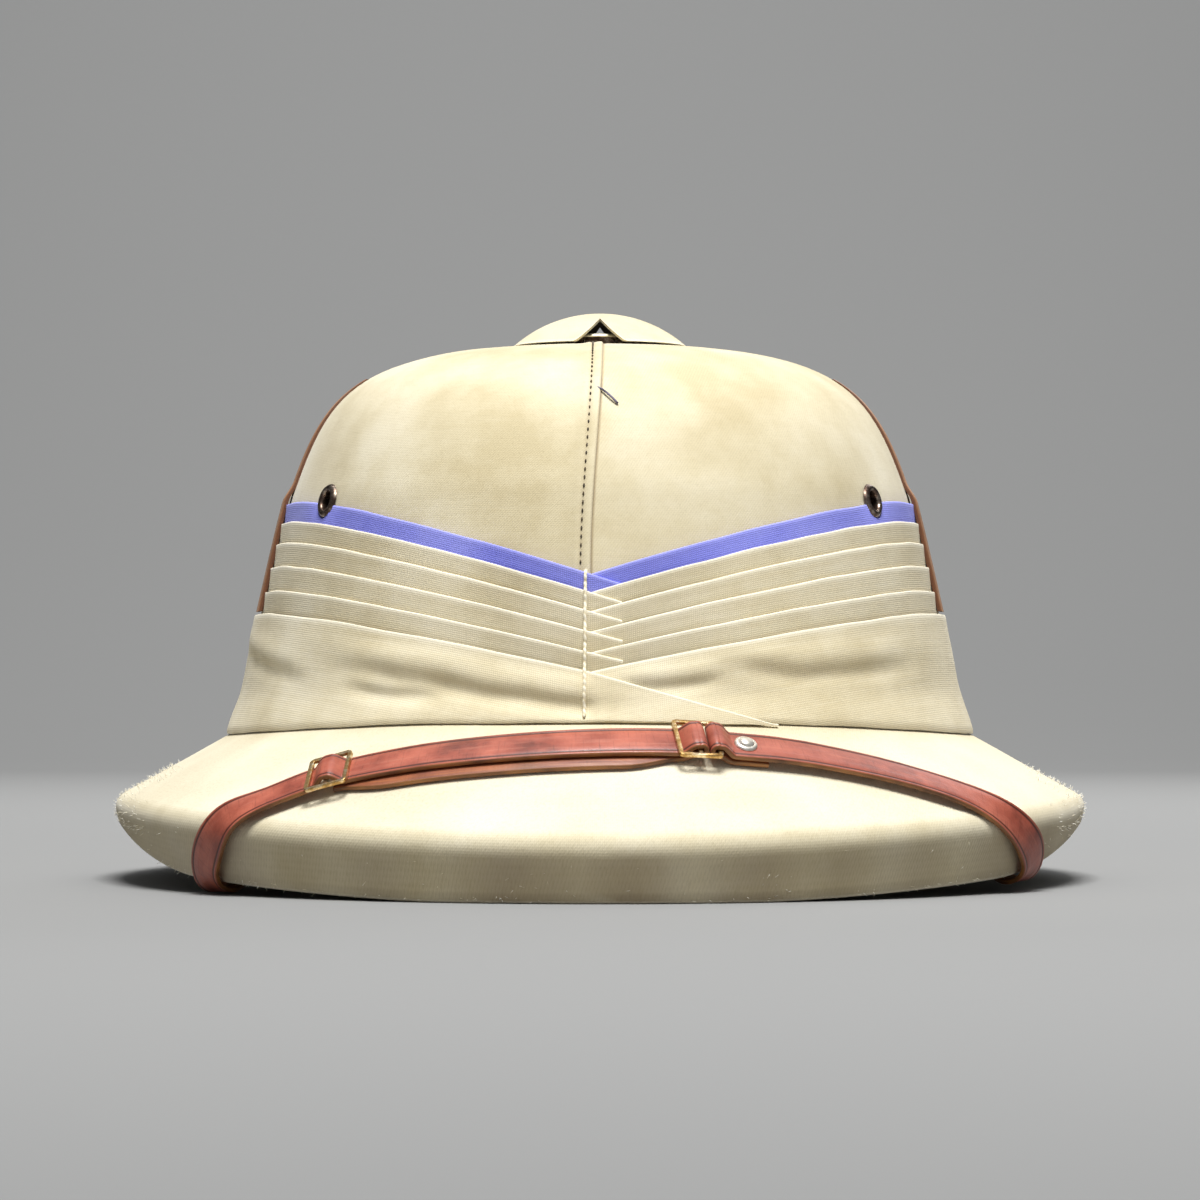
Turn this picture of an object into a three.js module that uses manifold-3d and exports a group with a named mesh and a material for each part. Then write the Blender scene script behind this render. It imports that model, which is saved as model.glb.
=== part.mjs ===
// Sun helmet of moulded pith: cloth covered crown and brim, ventilator cap, wound scarf, leather chin strap.
// Millimetres, +Z up, front of the helmet towards -Y, the table at z = 0 under the lowest part of the brim.
import * as THREE from "three";
import { mergeVertices } from "three/addons/utils/BufferGeometryUtils.js";
import Module from "manifold-3d";

const wasm = await Module();
wasm.setup();

// Fit between neighbouring pieces
const fitGap = 0.3;
const clothThickness = 1.0;
const layerStep = 1.2;

// Crown: half width against height, drawn as two curves from the apex to the foot
const crownCentreY = -5.5;
const crownApex = 147.8;
const crownWall = 6;
const crownStretch = 1.2;
const domeHandles = { apexReach: 66.5, shoulderWidth: 75.5, shoulderHeight: 138, sideWidth: 86.1, sideHeight: 105.6 };
const wallHandles = { upperWidth: 89.1, upperHeight: 93.6, lowerWidth: 94.5, lowerHeight: 62, footWidth: 101, footHeight: 34 };
const crownRingShares = [0.075, 0.16, 0.24, 0.31, 0.37, 0.43, 0.49, 0.55, 0.62, 0.7, 0.8, 0.9];
const innerRingEvery = 2;
const ventHoleRadius = 13;
const seamRelief = 0.5;
const seamSteps = [
  { angle: 0, raised: 1 },
  { angle: 0.5, raised: 0 },
  { angle: 10, raised: 0 },
  { angle: 20, raised: 0 },
  { angle: 30, raised: 0 },
  { angle: 40, raised: 0 },
  { angle: 50, raised: 0 },
  { angle: 60, raised: 0 },
  { angle: 70, raised: 0 },
  { angle: 80, raised: 0 },
  { angle: 86.4, raised: 0 },
  { angle: 87, raised: 1 },
];

// Brim: oval rim, upper slope down to a ridge, flange turned down to the rim
const rimHalfWidth = 133.6;
const rimHalfLength = 166;
const brimWall = 5;
const joinHeight = { side: 42, front: 47 };
const ridgeHeight = { side: 22.3, front: 15.4 };
const rimRise = { gentle: 7.6, flatShare: 0.1, arch: 8.6, archFrom: 50, archTo: 82 };
const flangeRun = { side: -1.5, front: -4.2 };
const ridgeSetback = 7;
const rimChamfer = 0.9;
const brimLines = 72;

// Scarf: top edge of every fold at the side and at the front, measured from the table
const foldRows = [
  { name: "puggaree_stripe", side: 103.4, front: 82.0, colour: "#6f76d6" },
  { name: "puggaree_fold_1", side: 98.0, front: 77.3, colour: "#d9cba2" },
  { name: "puggaree_fold_2", side: 92.3, front: 72.4, colour: "#d9cba2" },
  { name: "puggaree_fold_3", side: 85.9, front: 67.2, colour: "#d9cba2" },
  { name: "puggaree_fold_4", side: 79.2, front: 61.9, colour: "#d9cba2" },
  { name: "puggaree_wrap", side: 73.0, front: 57.0, colour: "#d6c79c" },
];
const dip = { power: 1.7, reach: 70, sway: -1.4 };
const foldTuck = 1.6;
const foldTop = { plain: 3.12, crossing: 1.62 };
const crossing = { full: 8, gone: 26, rightEnd: -2.5, leftEnd: 4.8 };
const wrapEnd = { angle: 26, fall: 29, tuckFall: 24 };
const hem = { stand: 4.4, waist: 3.1, waistCrossing: 0.9, inside: 0.6 };
const foldAngles = [10, 15, 20, 26, 30, 40, 50, 60, 70, 80, 90, 100, 110, 120, 130, 140, 150, 160, 170];

// Ventilator cap on its collar
const cap = { radius: 24.3, seat: 148.1, top: 157.4, wall: 2.2, notchWidth: 15, notchRise: 7.4, notchDepth: 15 };
const collar = { inner: 14.5, outer: 16.6, seat: 148.1, top: 150.75 };

// Vent eyelets
const eyelet = { angle: 56.5, height: 102.7, flange: 4.7, hole: 2.6, barrel: 3.3, flangeThickness: 0.9, backGap: 1.35 };

// Narrow tape sewn down each side of the crown, over the folds to the broad turn
const tape = { angle: 81.6, width: 12, thickness: 1.0, scarfStand: 3.4, crownStand: 0.8, settle: 7 };
const tapeHeights = [73.6, 82, 90, 98, 104.4, 107, 109.5, 111.5, 116, 120, 124, 127.5, 130.5, 133.5, 136, 138];

// Chin strap: route on the skin of the brim, share 0 at the crown, 1 at the ridge, 2 at the rim, 4 at the crown below
const strapWidth = 11;
const strapThickness = 1.3;
const leftRoute = [
  { angle: -64, share: 3.75 },
  { angle: -58, share: 3.45 },
  { angle: -52, share: 2.95 },
  { angle: -49.2, share: 2.5 },
  { angle: -48.2, share: 2.12 },
  { angle: -47.6, share: 1.8 },
  { angle: -46.2, share: 1.35 },
  { angle: -43.5, share: 1.0 },
  { angle: -39, share: 0.76 },
  { angle: -33.5, share: 0.58 },
  { angle: -24, share: 0.43 },
  { angle: -12, share: 0.34 },
  { angle: 0, share: 0.3 },
  { angle: 10, share: 0.3 },
  { angle: 22, share: 0.34 },
];
const rightRoute = [
  { angle: 72, share: 3.75 },
  { angle: 66, share: 3.45 },
  { angle: 59.5, share: 2.95 },
  { angle: 56.8, share: 2.5 },
  { angle: 55.8, share: 2.12 },
  { angle: 55.2, share: 1.8 },
  { angle: 53.5, share: 1.35 },
  { angle: 50, share: 1.0 },
  { angle: 44.5, share: 0.76 },
  { angle: 38, share: 0.56 },
  { angle: 28, share: 0.4 },
  { angle: 18, share: 0.33 },
  { angle: 10, share: 0.3 },
  { angle: 2, share: 0.3 },
];
const bridge = { from: 2.4, to: 3.9, lift: 5.6 };
const rimPass = { from: 2.8, to: 1.3, stand: 2.2 };
const slideAngle = -33.5;
const buckleAngle = 12.3;
const studReach = 12.8;
const tailReach = 19;
const returnSag = 2.6;
const frame = { across: 15.4, along: 11.4, bar: 1.1, thickness: 1.0, barPitch: 5.1, stand: 4.0, rise: 1.5 };
const stud = { head: 3, dome: 1.5, shank: 0.9 };
const anchor = { head: 4, thickness: 1.5, shank: 1.3, fromEnd: 8 };

// Colours
const khaki = "#dccfa8";
const leather = "#8a5340";
const tan = "#b9845a";
const brass = "#a98b4d";
const darkBrass = "#6d5836";
const paleMetal = "#c9c2ae";

const { degToRad, radToDeg, lerp, smoothstep, clamp } = THREE.MathUtils;
const vec = (x, y, z) => new THREE.Vector3(x, y, z);
const flat = (x, y) => new THREE.Vector2(x, y);

// Corner list of a closed outline laid flat, for closing the end of a sweep
function flatten(points) {
  const normal = vec(0, 0, 0);
  points.forEach((p, i) => {
    const q = points[(i + 1) % points.length];
    normal.x += (p.y - q.y) * (p.z + q.z);
    normal.y += (p.z - q.z) * (p.x + q.x);
    normal.z += (p.x - q.x) * (p.y + q.y);
  });
  normal.normalize();
  const across = points[1].clone().sub(points[0]).normalize();
  const up = normal.clone().cross(across);
  return points.map((p) => flat(p.dot(across), p.dot(up)));
}

// Skin over a row of closed outlines that all have the same number of corners
function skin(outlines, ring = false) {
  const corners = outlines[0].length;
  const faces = [];
  const spans = ring ? outlines.length : outlines.length - 1;
  for (let row = 0; row < spans; row++) {
    const next = (row + 1) % outlines.length;
    for (let i = 0; i < corners; i++) {
      const j = (i + 1) % corners;
      const a = row * corners + i;
      const b = row * corners + j;
      const c = next * corners + j;
      const d = next * corners + i;
      faces.push(a, b, c, a, c, d);
    }
  }
  if (!ring) {
    const last = (outlines.length - 1) * corners;
    for (const [a, b, c] of THREE.ShapeUtils.triangulateShape(flatten(outlines[0]), [])) {
      faces.push(c, b, a);
    }
    for (const [a, b, c] of THREE.ShapeUtils.triangulateShape(flatten(outlines[outlines.length - 1]), [])) {
      faces.push(last + a, last + b, last + c);
    }
  }
  const points = outlines.flat();
  const geometry = new THREE.BufferGeometry();
  geometry.setAttribute("position", new THREE.Float32BufferAttribute(points.flatMap((p) => [p.x, p.y, p.z]), 3));
  geometry.setIndex(faces);
  return faceOutwards(geometry);
}

// Turns a closed skin right side out
function faceOutwards(geometry) {
  const at = geometry.attributes.position;
  const index = geometry.index.array;
  const [a, b, c] = [vec(), vec(), vec()];
  let volume = 0;
  for (let i = 0; i < index.length; i += 3) {
    a.fromBufferAttribute(at, index[i]);
    b.fromBufferAttribute(at, index[i + 1]);
    c.fromBufferAttribute(at, index[i + 2]);
    volume += a.dot(b.cross(c));
  }
  if (volume < 0) {
    for (let i = 0; i < index.length; i += 3) {
      [index[i], index[i + 1]] = [index[i + 1], index[i]];
    }
  }
  return geometry;
}

// Solid for joining and cutting, and back again
function toSolid(geometry) {
  const bare = geometry.clone();
  bare.deleteAttribute("normal");
  bare.deleteAttribute("uv");
  const closed = mergeVertices(bare, 1e-4);
  const mesh = { numProp: 3, vertProperties: new Float32Array(closed.attributes.position.array) };
  return new wasm.Manifold(new wasm.Mesh({ ...mesh, triVerts: new Uint32Array(closed.index.array) }));
}

function toGeometry(solid) {
  const mesh = solid.getMesh();
  const geometry = new THREE.BufferGeometry();
  geometry.setAttribute("position", new THREE.Float32BufferAttribute(mesh.vertProperties, 3));
  geometry.setIndex(Array.from(mesh.triVerts));
  return geometry;
}

function cut(geometry, ...tools) {
  return toGeometry(tools.reduce((solid, tool) => solid.subtract(toSolid(tool)), toSolid(geometry)));
}

// Turned piece whose axis is moved to stand at a place, along a direction
function turned(profile, segments, place, direction) {
  const geometry = new THREE.LatheGeometry(profile.map(([r, h]) => flat(r, h)), segments);
  geometry.deleteAttribute("normal");
  geometry.deleteAttribute("uv");
  const closed = mergeVertices(geometry, 1e-4);
  const kept = [];
  const index = closed.index.array;
  for (let i = 0; i < index.length; i += 3) {
    const [a, b, c] = [index[i], index[i + 1], index[i + 2]];
    if (a !== b && b !== c && c !== a) {
      kept.push(a, b, c);
    }
  }
  closed.setIndex(kept);
  closed.applyQuaternion(new THREE.Quaternion().setFromUnitVectors(vec(0, 1, 0), direction));
  closed.translate(place.x, place.y, place.z);
  return faceOutwards(closed);
}

// Crown surface
const crownCurve = new THREE.CurvePath();
crownCurve.add(new THREE.CubicBezierCurve(
  flat(0, crownApex),
  flat(domeHandles.apexReach, crownApex),
  flat(domeHandles.shoulderWidth, domeHandles.shoulderHeight),
  flat(domeHandles.sideWidth, domeHandles.sideHeight),
));
crownCurve.add(new THREE.CubicBezierCurve(
  flat(domeHandles.sideWidth, domeHandles.sideHeight),
  flat(wallHandles.upperWidth, wallHandles.upperHeight),
  flat(wallHandles.lowerWidth, wallHandles.lowerHeight),
  flat(wallHandles.footWidth, wallHandles.footHeight),
));
const crownTrace = crownCurve.getSpacedPoints(400);

function crownHalfWidth(z) {
  let i = 1;
  while (i < crownTrace.length - 1 && crownTrace[i].y > z) {
    i += 1;
  }
  const [above, below] = [crownTrace[i - 1], crownTrace[i]];
  const share = clamp((above.y - z) / (above.y - below.y || 1), 0, 1);
  return lerp(above.x, below.x, share);
}

const stretchAt = (halfWidth) => 1 + (crownStretch - 1) * smoothstep(halfWidth, ventHoleRadius, 60);

function ovalPoint(halfWidth, halfLength, centreY, angle, z) {
  const turn = degToRad(angle);
  return vec(halfWidth * Math.sin(turn), centreY - halfLength * Math.cos(turn), z);
}

// Point at a height on the crown wall, pushed out level
function wallPoint(angle, z, out = 0) {
  const halfWidth = crownHalfWidth(z);
  return ovalPoint(halfWidth + out, halfWidth * stretchAt(halfWidth) + out, crownCentreY, angle, z);
}

// Point on the crown's drawn line, pushed in or out square to it
function domePoint(angle, share, out) {
  const at = crownCurve.getPoint(share);
  const ahead = crownCurve.getPoint(Math.min(share + 0.002, 1));
  const behind = crownCurve.getPoint(Math.max(share - 0.002, 0));
  const along = ahead.sub(behind).normalize();
  const reach = -along.y * out;
  const halfLength = at.x * stretchAt(at.x) + reach;
  return ovalPoint(at.x + reach, halfLength, crownCentreY, angle, at.y + along.x * out);
}

// Scarf edges
const foldedAngle = (angle) => 90 - Math.abs(90 - (Math.abs(angle) % 180));

// Angle from the crossing of the folds, which lies a little to the left of the middle
const sway = (angle) => angle - dip.sway * Math.max(0, 1 - Math.abs(angle) / 90);

function foldEdge(row, angle) {
  const share = Math.max(0, 1 - Math.abs(sway(angle)) / dip.reach);
  return row.side - (row.side - row.front) * share ** dip.power;
}

// Brim surface
function joinAt(angle) {
  return lerp(joinHeight.side, joinHeight.front, Math.cos(degToRad(angle)) ** 2);
}

function archAt(angle) {
  return smoothstep(foldedAngle(angle), rimRise.archFrom, rimRise.archTo);
}

function rimAt(angle) {
  const sine = Math.sin(degToRad(angle)) ** 2;
  return rimRise.gentle * Math.max(0, sine - rimRise.flatShare) + rimRise.arch * archAt(angle);
}

function brimFrame(angle) {
  const join = joinAt(angle);
  const inner = wallPoint(angle, join, fitGap);
  const rim = ovalPoint(rimHalfWidth, rimHalfLength, 0, angle, join);
  const outward = rim.clone().sub(inner);
  const run = outward.length();
  outward.normalize();
  const flange = lerp(flangeRun.front, flangeRun.side, archAt(angle));
  const ridge = lerp(ridgeHeight.front, ridgeHeight.side, Math.sin(degToRad(angle)) ** 2);
  return { join, inner, outward, run, ridgeRun: run - flange, ridge, foot: rimAt(angle) };
}

function brimTop(angle, reach) {
  const at = brimFrame(angle);
  return lerp(at.join, at.ridge, reach / at.ridgeRun);
}

// Closed outline of the brim at an angle: down the upper face, round the rim, back along the under face
function brimOutline(angle) {
  const at = brimFrame(angle);
  const join = flat(0, at.join);
  const ridge = flat(at.ridgeRun, at.ridge);
  const rim = flat(at.run, at.foot);
  const slope = ridge.clone().sub(join).normalize();
  const drop = rim.clone().sub(ridge);
  const flangeLength = drop.length();
  drop.normalize();
  const setback = Math.min(ridgeSetback, flangeLength * 0.45);
  const from = ridge.clone().addScaledVector(slope, -setback);
  const to = ridge.clone().addScaledVector(drop, setback);
  const bend = new THREE.QuadraticBezierCurve(from, ridge, to);
  const rows = [{ share: 0, at: join }];
  [0, 0.5, 1].forEach((t) => rows.push({ share: lerp(0.87, 1.15, t), at: bend.getPoint(t) }));
  rows.push({ share: 1.95, at: rim.clone().addScaledVector(drop, -rimChamfer) });
  const across = brimWall / Math.max(-drop.y, 0.6);
  rows.push({ share: 2.05, at: flat(at.run - rimChamfer, at.foot) });
  rows.push({ share: 2.35, at: flat(at.run - across + rimChamfer, at.foot) });
  const underRim = flat(at.run - across, at.foot).addScaledVector(drop, -rimChamfer);
  rows.push({ share: 2.45, at: underRim });
  const inwards = (line) => flat(line.y, -line.x);
  [1, 0.5, 0].forEach((t) => {
    const tangent = bend.getTangent(t);
    const under = bend.getPoint(t).addScaledVector(inwards(tangent), brimWall);
    rows.push({ share: lerp(3.1, 2.9, t), at: under });
  });
  const points = rows.map((row) => ({
    share: row.share,
    point: at.inner.clone().addScaledVector(at.outward, row.at.x).setZ(row.at.y),
  }));
  const lowerJoin = at.join - brimWall / slope.x;
  points.push({ share: 4, point: wallPoint(angle, lowerJoin, fitGap) });
  return points;
}

function brimPoint(angle, share) {
  const rows = brimOutline(angle);
  let i = 1;
  while (i < rows.length - 1 && rows[i].share < share) {
    i += 1;
  }
  const [before, after] = [rows[i - 1], rows[i]];
  const part = (share - before.share) / (after.share - before.share);
  return before.point.clone().lerp(after.point, part);
}

function brimNormal(angle, share) {
  const round = brimPoint(angle + 1, share).sub(brimPoint(angle - 1, share));
  const down = brimPoint(angle, Math.min(share + 0.06, 4)).sub(brimPoint(angle, Math.max(share - 0.06, 0)));
  return down.cross(round).normalize();
}

// Crown
function makeCrown() {
  const outlines = [];
  for (let quarter = 0; quarter < 4; quarter++) {
    for (const step of seamSteps) {
      const angle = quarter * 90 + step.angle;
      const signed = angle > 180 ? angle - 360 : angle;
      const stripe = foldEdge(foldRows[0], signed);
      const foot = joinAt(angle) - brimWall - 1.2;
      const relief = (point, share) =>
        step.raised * seamRelief * smoothstep(point.z, stripe - 4, stripe - 1) * smoothstep(share, 0.16, 0.25);
      const outside = crownRingShares.map((share) => {
        const bare = domePoint(angle, share, 0);
        return domePoint(angle, share, relief(bare, share));
      });
      const holeTop = ovalPoint(ventHoleRadius, ventHoleRadius, crownCentreY, angle, crownApex - 0.15);
      const inside = crownRingShares
        .filter((share, i) => i % innerRingEvery === 0)
        .map((share) => domePoint(angle, share, -crownWall));
      const holeFoot = holeTop.clone().setZ(crownApex - crownWall - 0.15);
      const loop = [holeTop, ...outside, wallPoint(angle, foot), wallPoint(angle, foot, -crownWall)];
      outlines.push([...loop, ...inside.reverse(), holeFoot]);
    }
  }
  return skin(outlines, true);
}

function crownNormal(angle, z) {
  const round = wallPoint(angle + 1, z).sub(wallPoint(angle - 1, z));
  const up = wallPoint(angle, z + 1).sub(wallPoint(angle, z - 1));
  return round.cross(up).normalize();
}

function drill(place, direction, radius, from, to) {
  return turned([[0, from], [radius, from], [radius, to], [0, to]], 14, place, direction);
}

// Vent eyelet: flanged tube through the crown wall
function makeEyelet(angle) {
  const place = wallPoint(angle, eyelet.height);
  const top = fitGap + eyelet.flangeThickness;
  const back = -crownWall - eyelet.backGap - 0.9;
  const profile = [
    [eyelet.hole, top - 0.3],
    [eyelet.hole + 0.7, top],
    [eyelet.flange - 0.6, top - 0.1],
    [eyelet.flange, fitGap],
    [eyelet.barrel, fitGap],
    [eyelet.barrel, back + 0.9],
    [eyelet.barrel + 1, back + 0.9],
    [eyelet.barrel + 1, back],
    [eyelet.hole, back],
    [eyelet.hole, top - 0.3],
  ];
  return turned(profile, 14, place, crownNormal(angle, eyelet.height));
}

const eyeletHole = (angle, radius, from, to) =>
  drill(wallPoint(angle, eyelet.height), crownNormal(angle, eyelet.height), radius, from, to);

// Shingled folds of the scarf
const crossShare = (angle) => 1 - smoothstep(Math.abs(sway(angle)), crossing.full, crossing.gone);
const foldTopStand = (angle) => foldTop.plain + foldTop.crossing * crossShare(angle);
const overLift = (angle) => (sway(angle) > 0 ? layerStep : layerStep * crossShare(angle));

// How far a layer stands off the crown at a height
function foldStand(k, angle, z) {
  const upper = foldEdge(foldRows[k], angle);
  const lower = foldEdge(foldRows[k + 1], angle);
  const drop = layerStep * (1 + crossShare(angle));
  return foldTopStand(angle) - drop * (upper - z) / (upper - lower);
}

// Top edge of a fold, run straight on past the middle where it crosses the other end
function runOnEdge(k, angle, past) {
  const row = foldRows[k];
  if (!past) {
    return foldEdge(row, angle);
  }
  const fall = (row.side - row.front) * dip.power / dip.reach;
  return row.front - fall * Math.abs(sway(angle));
}

function foldOutline(k, angle, left) {
  const past = left ? sway(angle) > 0.01 : sway(angle) < -0.01;
  const bottom = foldEdge(foldRows[k + 1], angle) - foldTuck;
  const top = Math.max(runOnEdge(k, angle, past), bottom + 1);
  const lift = left ? overLift(angle) : 0;
  const corner = (z, depth) => wallPoint(angle, z, foldStand(k, angle, z) + lift - depth);
  return [
    corner(top - 0.25, clothThickness),
    corner(top, clothThickness * 0.5),
    corner(top - 0.35, 0),
    corner(bottom, 0),
    corner(bottom, clothThickness),
  ];
}

// Angles round the helmet from the right end, by the back, to the left end
function scarfAngles(leftEnd) {
  const near = [crossing.rightEnd, 0, crossing.leftEnd / 2, crossing.leftEnd];
  const middle = near.map((angle) => angle + dip.sway * (1 - Math.abs(angle) / 90));
  const right = [...middle, ...foldAngles, 180].map((angle) => ({ angle, left: false }));
  const leftSide = [...foldAngles].reverse().map((angle) => ({ angle: -angle, left: true }));
  const overlap = [-7, middle[0] - 0.6, ...middle, ...foldAngles].filter((angle) => angle <= leftEnd);
  return [...right, ...leftSide, ...overlap.map((angle) => ({ angle, left: true }))];
}

function makeFold(k) {
  return skin(scarfAngles(crossing.leftEnd + dip.sway).map(({ angle, left }) => foldOutline(k, angle, left)));
}

// Height where a point that stands off the crown comes down on the brim
function hemHeight(angle, stand) {
  const join = joinAt(angle);
  let z = join;
  for (let pass = 0; pass < 6; pass++) {
    const reach = crownHalfWidth(z) + stand - crownHalfWidth(join) - fitGap;
    z = brimTop(angle, Math.max(reach, 0)) + fitGap + 0.25;
  }
  return z;
}

// Broad lowest turn of the scarf
function wrapOutline(angle, left) {
  const past = left ? sway(angle) > 0.01 : sway(angle) < -0.01;
  const last = foldRows.length - 1;
  const row = foldRows[last];
  const lift = left ? overLift(angle) : 0;
  const over = left && sway(angle) >= crossing.rightEnd - 0.01;
  const cross = crossShare(angle);
  const waist = hem.waist + hem.waistCrossing * cross + lift;
  const stand = hem.stand + lift;
  const foot = hemHeight(angle, stand);
  const plainTop = foldEdge(row, angle);
  let top = plainTop;
  if (past) {
    const fall = left ? wrapEnd.fall : wrapEnd.tuckFall;
    top = Math.max(row.front - fall * degToRad(Math.abs(sway(angle))), foot + 1.5);
  }
  const levels = [0, 0.3, 0.55, 0.8];
  const outer = (z) => {
    const share = clamp((plainTop - z) / (plainTop - foot), 0, 1);
    const upper = lerp(foldTopStand(angle) + lift, waist, smoothstep(share, 0.1, 0.55));
    return lerp(upper, stand, smoothstep(share, 0.6, 1));
  };
  const height = top - foot;
  const outside = levels.map((share) => {
    const z = top - 0.35 - share * (height - 0.35);
    return wallPoint(angle, z, outer(z));
  });
  const thin = (z) => outer(z) - clothThickness;
  const tuckFoot = Math.max(top - foldTuck - 0.8, foot + 0.45 * height);
  const deep = (z) => (over ? thin(z) : hem.inside);
  const footStand = over ? stand - clothThickness : hem.inside;
  const lowMiddle = foot + 0.3 * height;
  return [
    wallPoint(angle, top - 0.25, thin(top)),
    wallPoint(angle, top, outer(top) - clothThickness * 0.5),
    ...outside,
    wallPoint(angle, foot, stand),
    wallPoint(angle, hemHeight(angle, footStand), footStand),
    wallPoint(angle, Math.max(lowMiddle, hemHeight(angle, footStand) + 0.3), deep(lowMiddle)),
    wallPoint(angle, tuckFoot - 0.4, deep(tuckFoot - 0.4)),
    wallPoint(angle, tuckFoot, thin(tuckFoot)),
  ];
}

function makeWrap() {
  return skin(scarfAngles(wrapEnd.angle).map(({ angle, left }) => wrapOutline(angle, left)));
}

// Ventilator cap and collar
function makeCap() {
  const rise = cap.top - cap.seat;
  const bow = (cap.radius ** 2 + rise ** 2) / (2 * rise);
  const innerBow = bow - cap.wall;
  const centre = cap.top - bow;
  const edge = Math.asin(cap.radius / bow);
  const steps = 7;
  const profile = [];
  for (let i = 0; i <= steps; i++) {
    const lean = (edge * 0.97 * i) / steps;
    profile.push([bow * Math.sin(lean), centre + bow * Math.cos(lean)]);
  }
  profile.push([cap.radius - 0.2, cap.seat]);
  profile.push([cap.radius - cap.wall - 0.4, cap.seat]);
  for (let i = steps - 2; i >= 0; i--) {
    const lean = (edge * 0.9 * i) / (steps - 2);
    profile.push([innerBow * Math.sin(lean), centre + innerBow * Math.cos(lean)]);
  }
  profile[0][0] = 0;
  profile[profile.length - 1][0] = 0;
  const shell = turned(profile, 32, vec(0, crownCentreY, 0), vec(0, 0, 1));
  const half = cap.notchWidth / 2;
  const arch = new THREE.Shape();
  arch.moveTo(-half, cap.seat - 2);
  arch.lineTo(half, cap.seat - 2);
  arch.lineTo(half, cap.seat);
  arch.quadraticCurveTo(half * 0.45, cap.seat + cap.notchRise * 0.45, 0, cap.seat + cap.notchRise);
  arch.quadraticCurveTo(-half * 0.45, cap.seat + cap.notchRise * 0.45, -half, cap.seat);
  const notch = (turn) => {
    const block = new THREE.ExtrudeGeometry(arch, { depth: 30, bevelEnabled: false, curveSegments: 6 });
    block.rotateX(Math.PI / 2);
    block.translate(0, -(cap.radius - cap.notchDepth), 0);
    block.rotateZ(turn);
    block.translate(0, crownCentreY, 0);
    const closed = mergeVertices(block.deleteAttribute("normal").deleteAttribute("uv"), 1e-4);
    return faceOutwards(closed);
  };
  return cut(shell, notch(0), notch(Math.PI));
}

function makeCollar() {
  const profile = [
    [collar.inner, collar.seat],
    [collar.outer, collar.seat],
    [collar.outer, collar.top - 0.4],
    [collar.outer - 0.5, collar.top],
    [collar.inner, collar.top],
    [collar.inner, collar.seat],
  ];
  return turned(profile, 28, vec(0, crownCentreY, 0), vec(0, 0, 1));
}

// Chin strap route as a measured line on the brim
function measureRoute(rows) {
  const share = 30;
  const line = new THREE.CatmullRomCurve3(rows.map((row) => vec(row.angle, row.share * share, 0)));
  const stops = [];
  let travelled = 0;
  for (let i = 0; i <= 600; i++) {
    const at = line.getPoint(i / 600);
    const stop = { angle: at.x, share: clamp(at.y / share, 0, 4) };
    const under = clamp((stop.share - bridge.from) / (bridge.to - bridge.from), 0, 1);
    stop.normal = brimNormal(stop.angle, stop.share);
    stop.point = brimPoint(stop.angle, stop.share);
    stop.point.addScaledVector(stop.normal, bridge.lift * Math.sin(Math.PI * under));
    travelled += i ? stop.point.distanceTo(stops[i - 1].point) : 0;
    stop.travelled = travelled;
    stops.push(stop);
  }
  return stops;
}

function routeAt(stops, travelled) {
  let i = 1;
  while (i < stops.length - 1 && stops[i].travelled < travelled) {
    i += 1;
  }
  const [before, after] = [stops[i - 1], stops[i]];
  const part = (travelled - before.travelled) / (after.travelled - before.travelled);
  const spread = 6;
  const [near, far] = [stops[Math.max(i - spread, 0)], stops[Math.min(i + spread, stops.length - 1)]];
  const normal = vec(0, 0, 0);
  for (let j = Math.max(i - spread, 0); j <= Math.min(i + spread, stops.length - 1); j++) {
    normal.add(stops[j].normal);
  }
  normal.normalize();
  const ahead = far.point.clone().sub(near.point).normalize();
  const across = normal.clone().cross(ahead).normalize();
  return { point: before.point.clone().lerp(after.point, part), normal: ahead.clone().cross(across), across, ahead };
}

const travelledTo = (stops, angle, rising) =>
  stops.find((stop) => stop.share < 0.9 && (rising ? stop.angle >= angle : stop.angle <= angle)).travelled;

const travelledToShare = (stops, share) => stops.find((stop) => stop.share <= share).travelled;

// Leather ribbon along a route: each stop has its travel, its stand over the brim and its shift down the brim
function ribbon(stops, path) {
  const places = path.map((step) => {
    const at = routeAt(stops, step.travel);
    const point = at.point.clone().addScaledVector(at.normal, step.stand);
    return { point: point.addScaledVector(at.across, step.shift || 0), across: at.across };
  });
  return skin(places.map((place, i) => {
    const before = places[Math.max(i - 1, 0)].point;
    const after = places[Math.min(i + 1, places.length - 1)].point;
    const ahead = after.clone().sub(before).normalize();
    const across = place.across.clone().addScaledVector(ahead, -place.across.dot(ahead)).normalize();
    const face = ahead.clone().cross(across).normalize();
    const corner = (side, up) => place.point.clone()
      .addScaledVector(across, side * strapWidth / 2)
      .addScaledVector(face, up * strapThickness / 2);
    return [corner(1, 1), corner(-1, 1), corner(-1, -1), corner(1, -1)];
  }));
}

const leftStops = measureRoute(leftRoute);
const rightStops = measureRoute(rightRoute);
const lowStand = fitGap + strapThickness / 2 + 0.1;
const highStand = frame.stand - frame.rise;
const overStand = frame.stand + frame.rise;

// Steps from one travel to another, with the stand eased between them
function stretch(from, to, standFrom, standTo, count, shiftFrom = 0, shiftTo = 0) {
  const steps = [];
  for (let i = 1; i <= count; i++) {
    const part = i / count;
    const ease = smoothstep(part, 0, 1);
    const shift = lerp(shiftFrom, shiftTo, ease);
    steps.push({ travel: lerp(from, to, part), stand: lerp(standFrom, standTo, ease), shift });
  }
  return steps;
}

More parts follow.
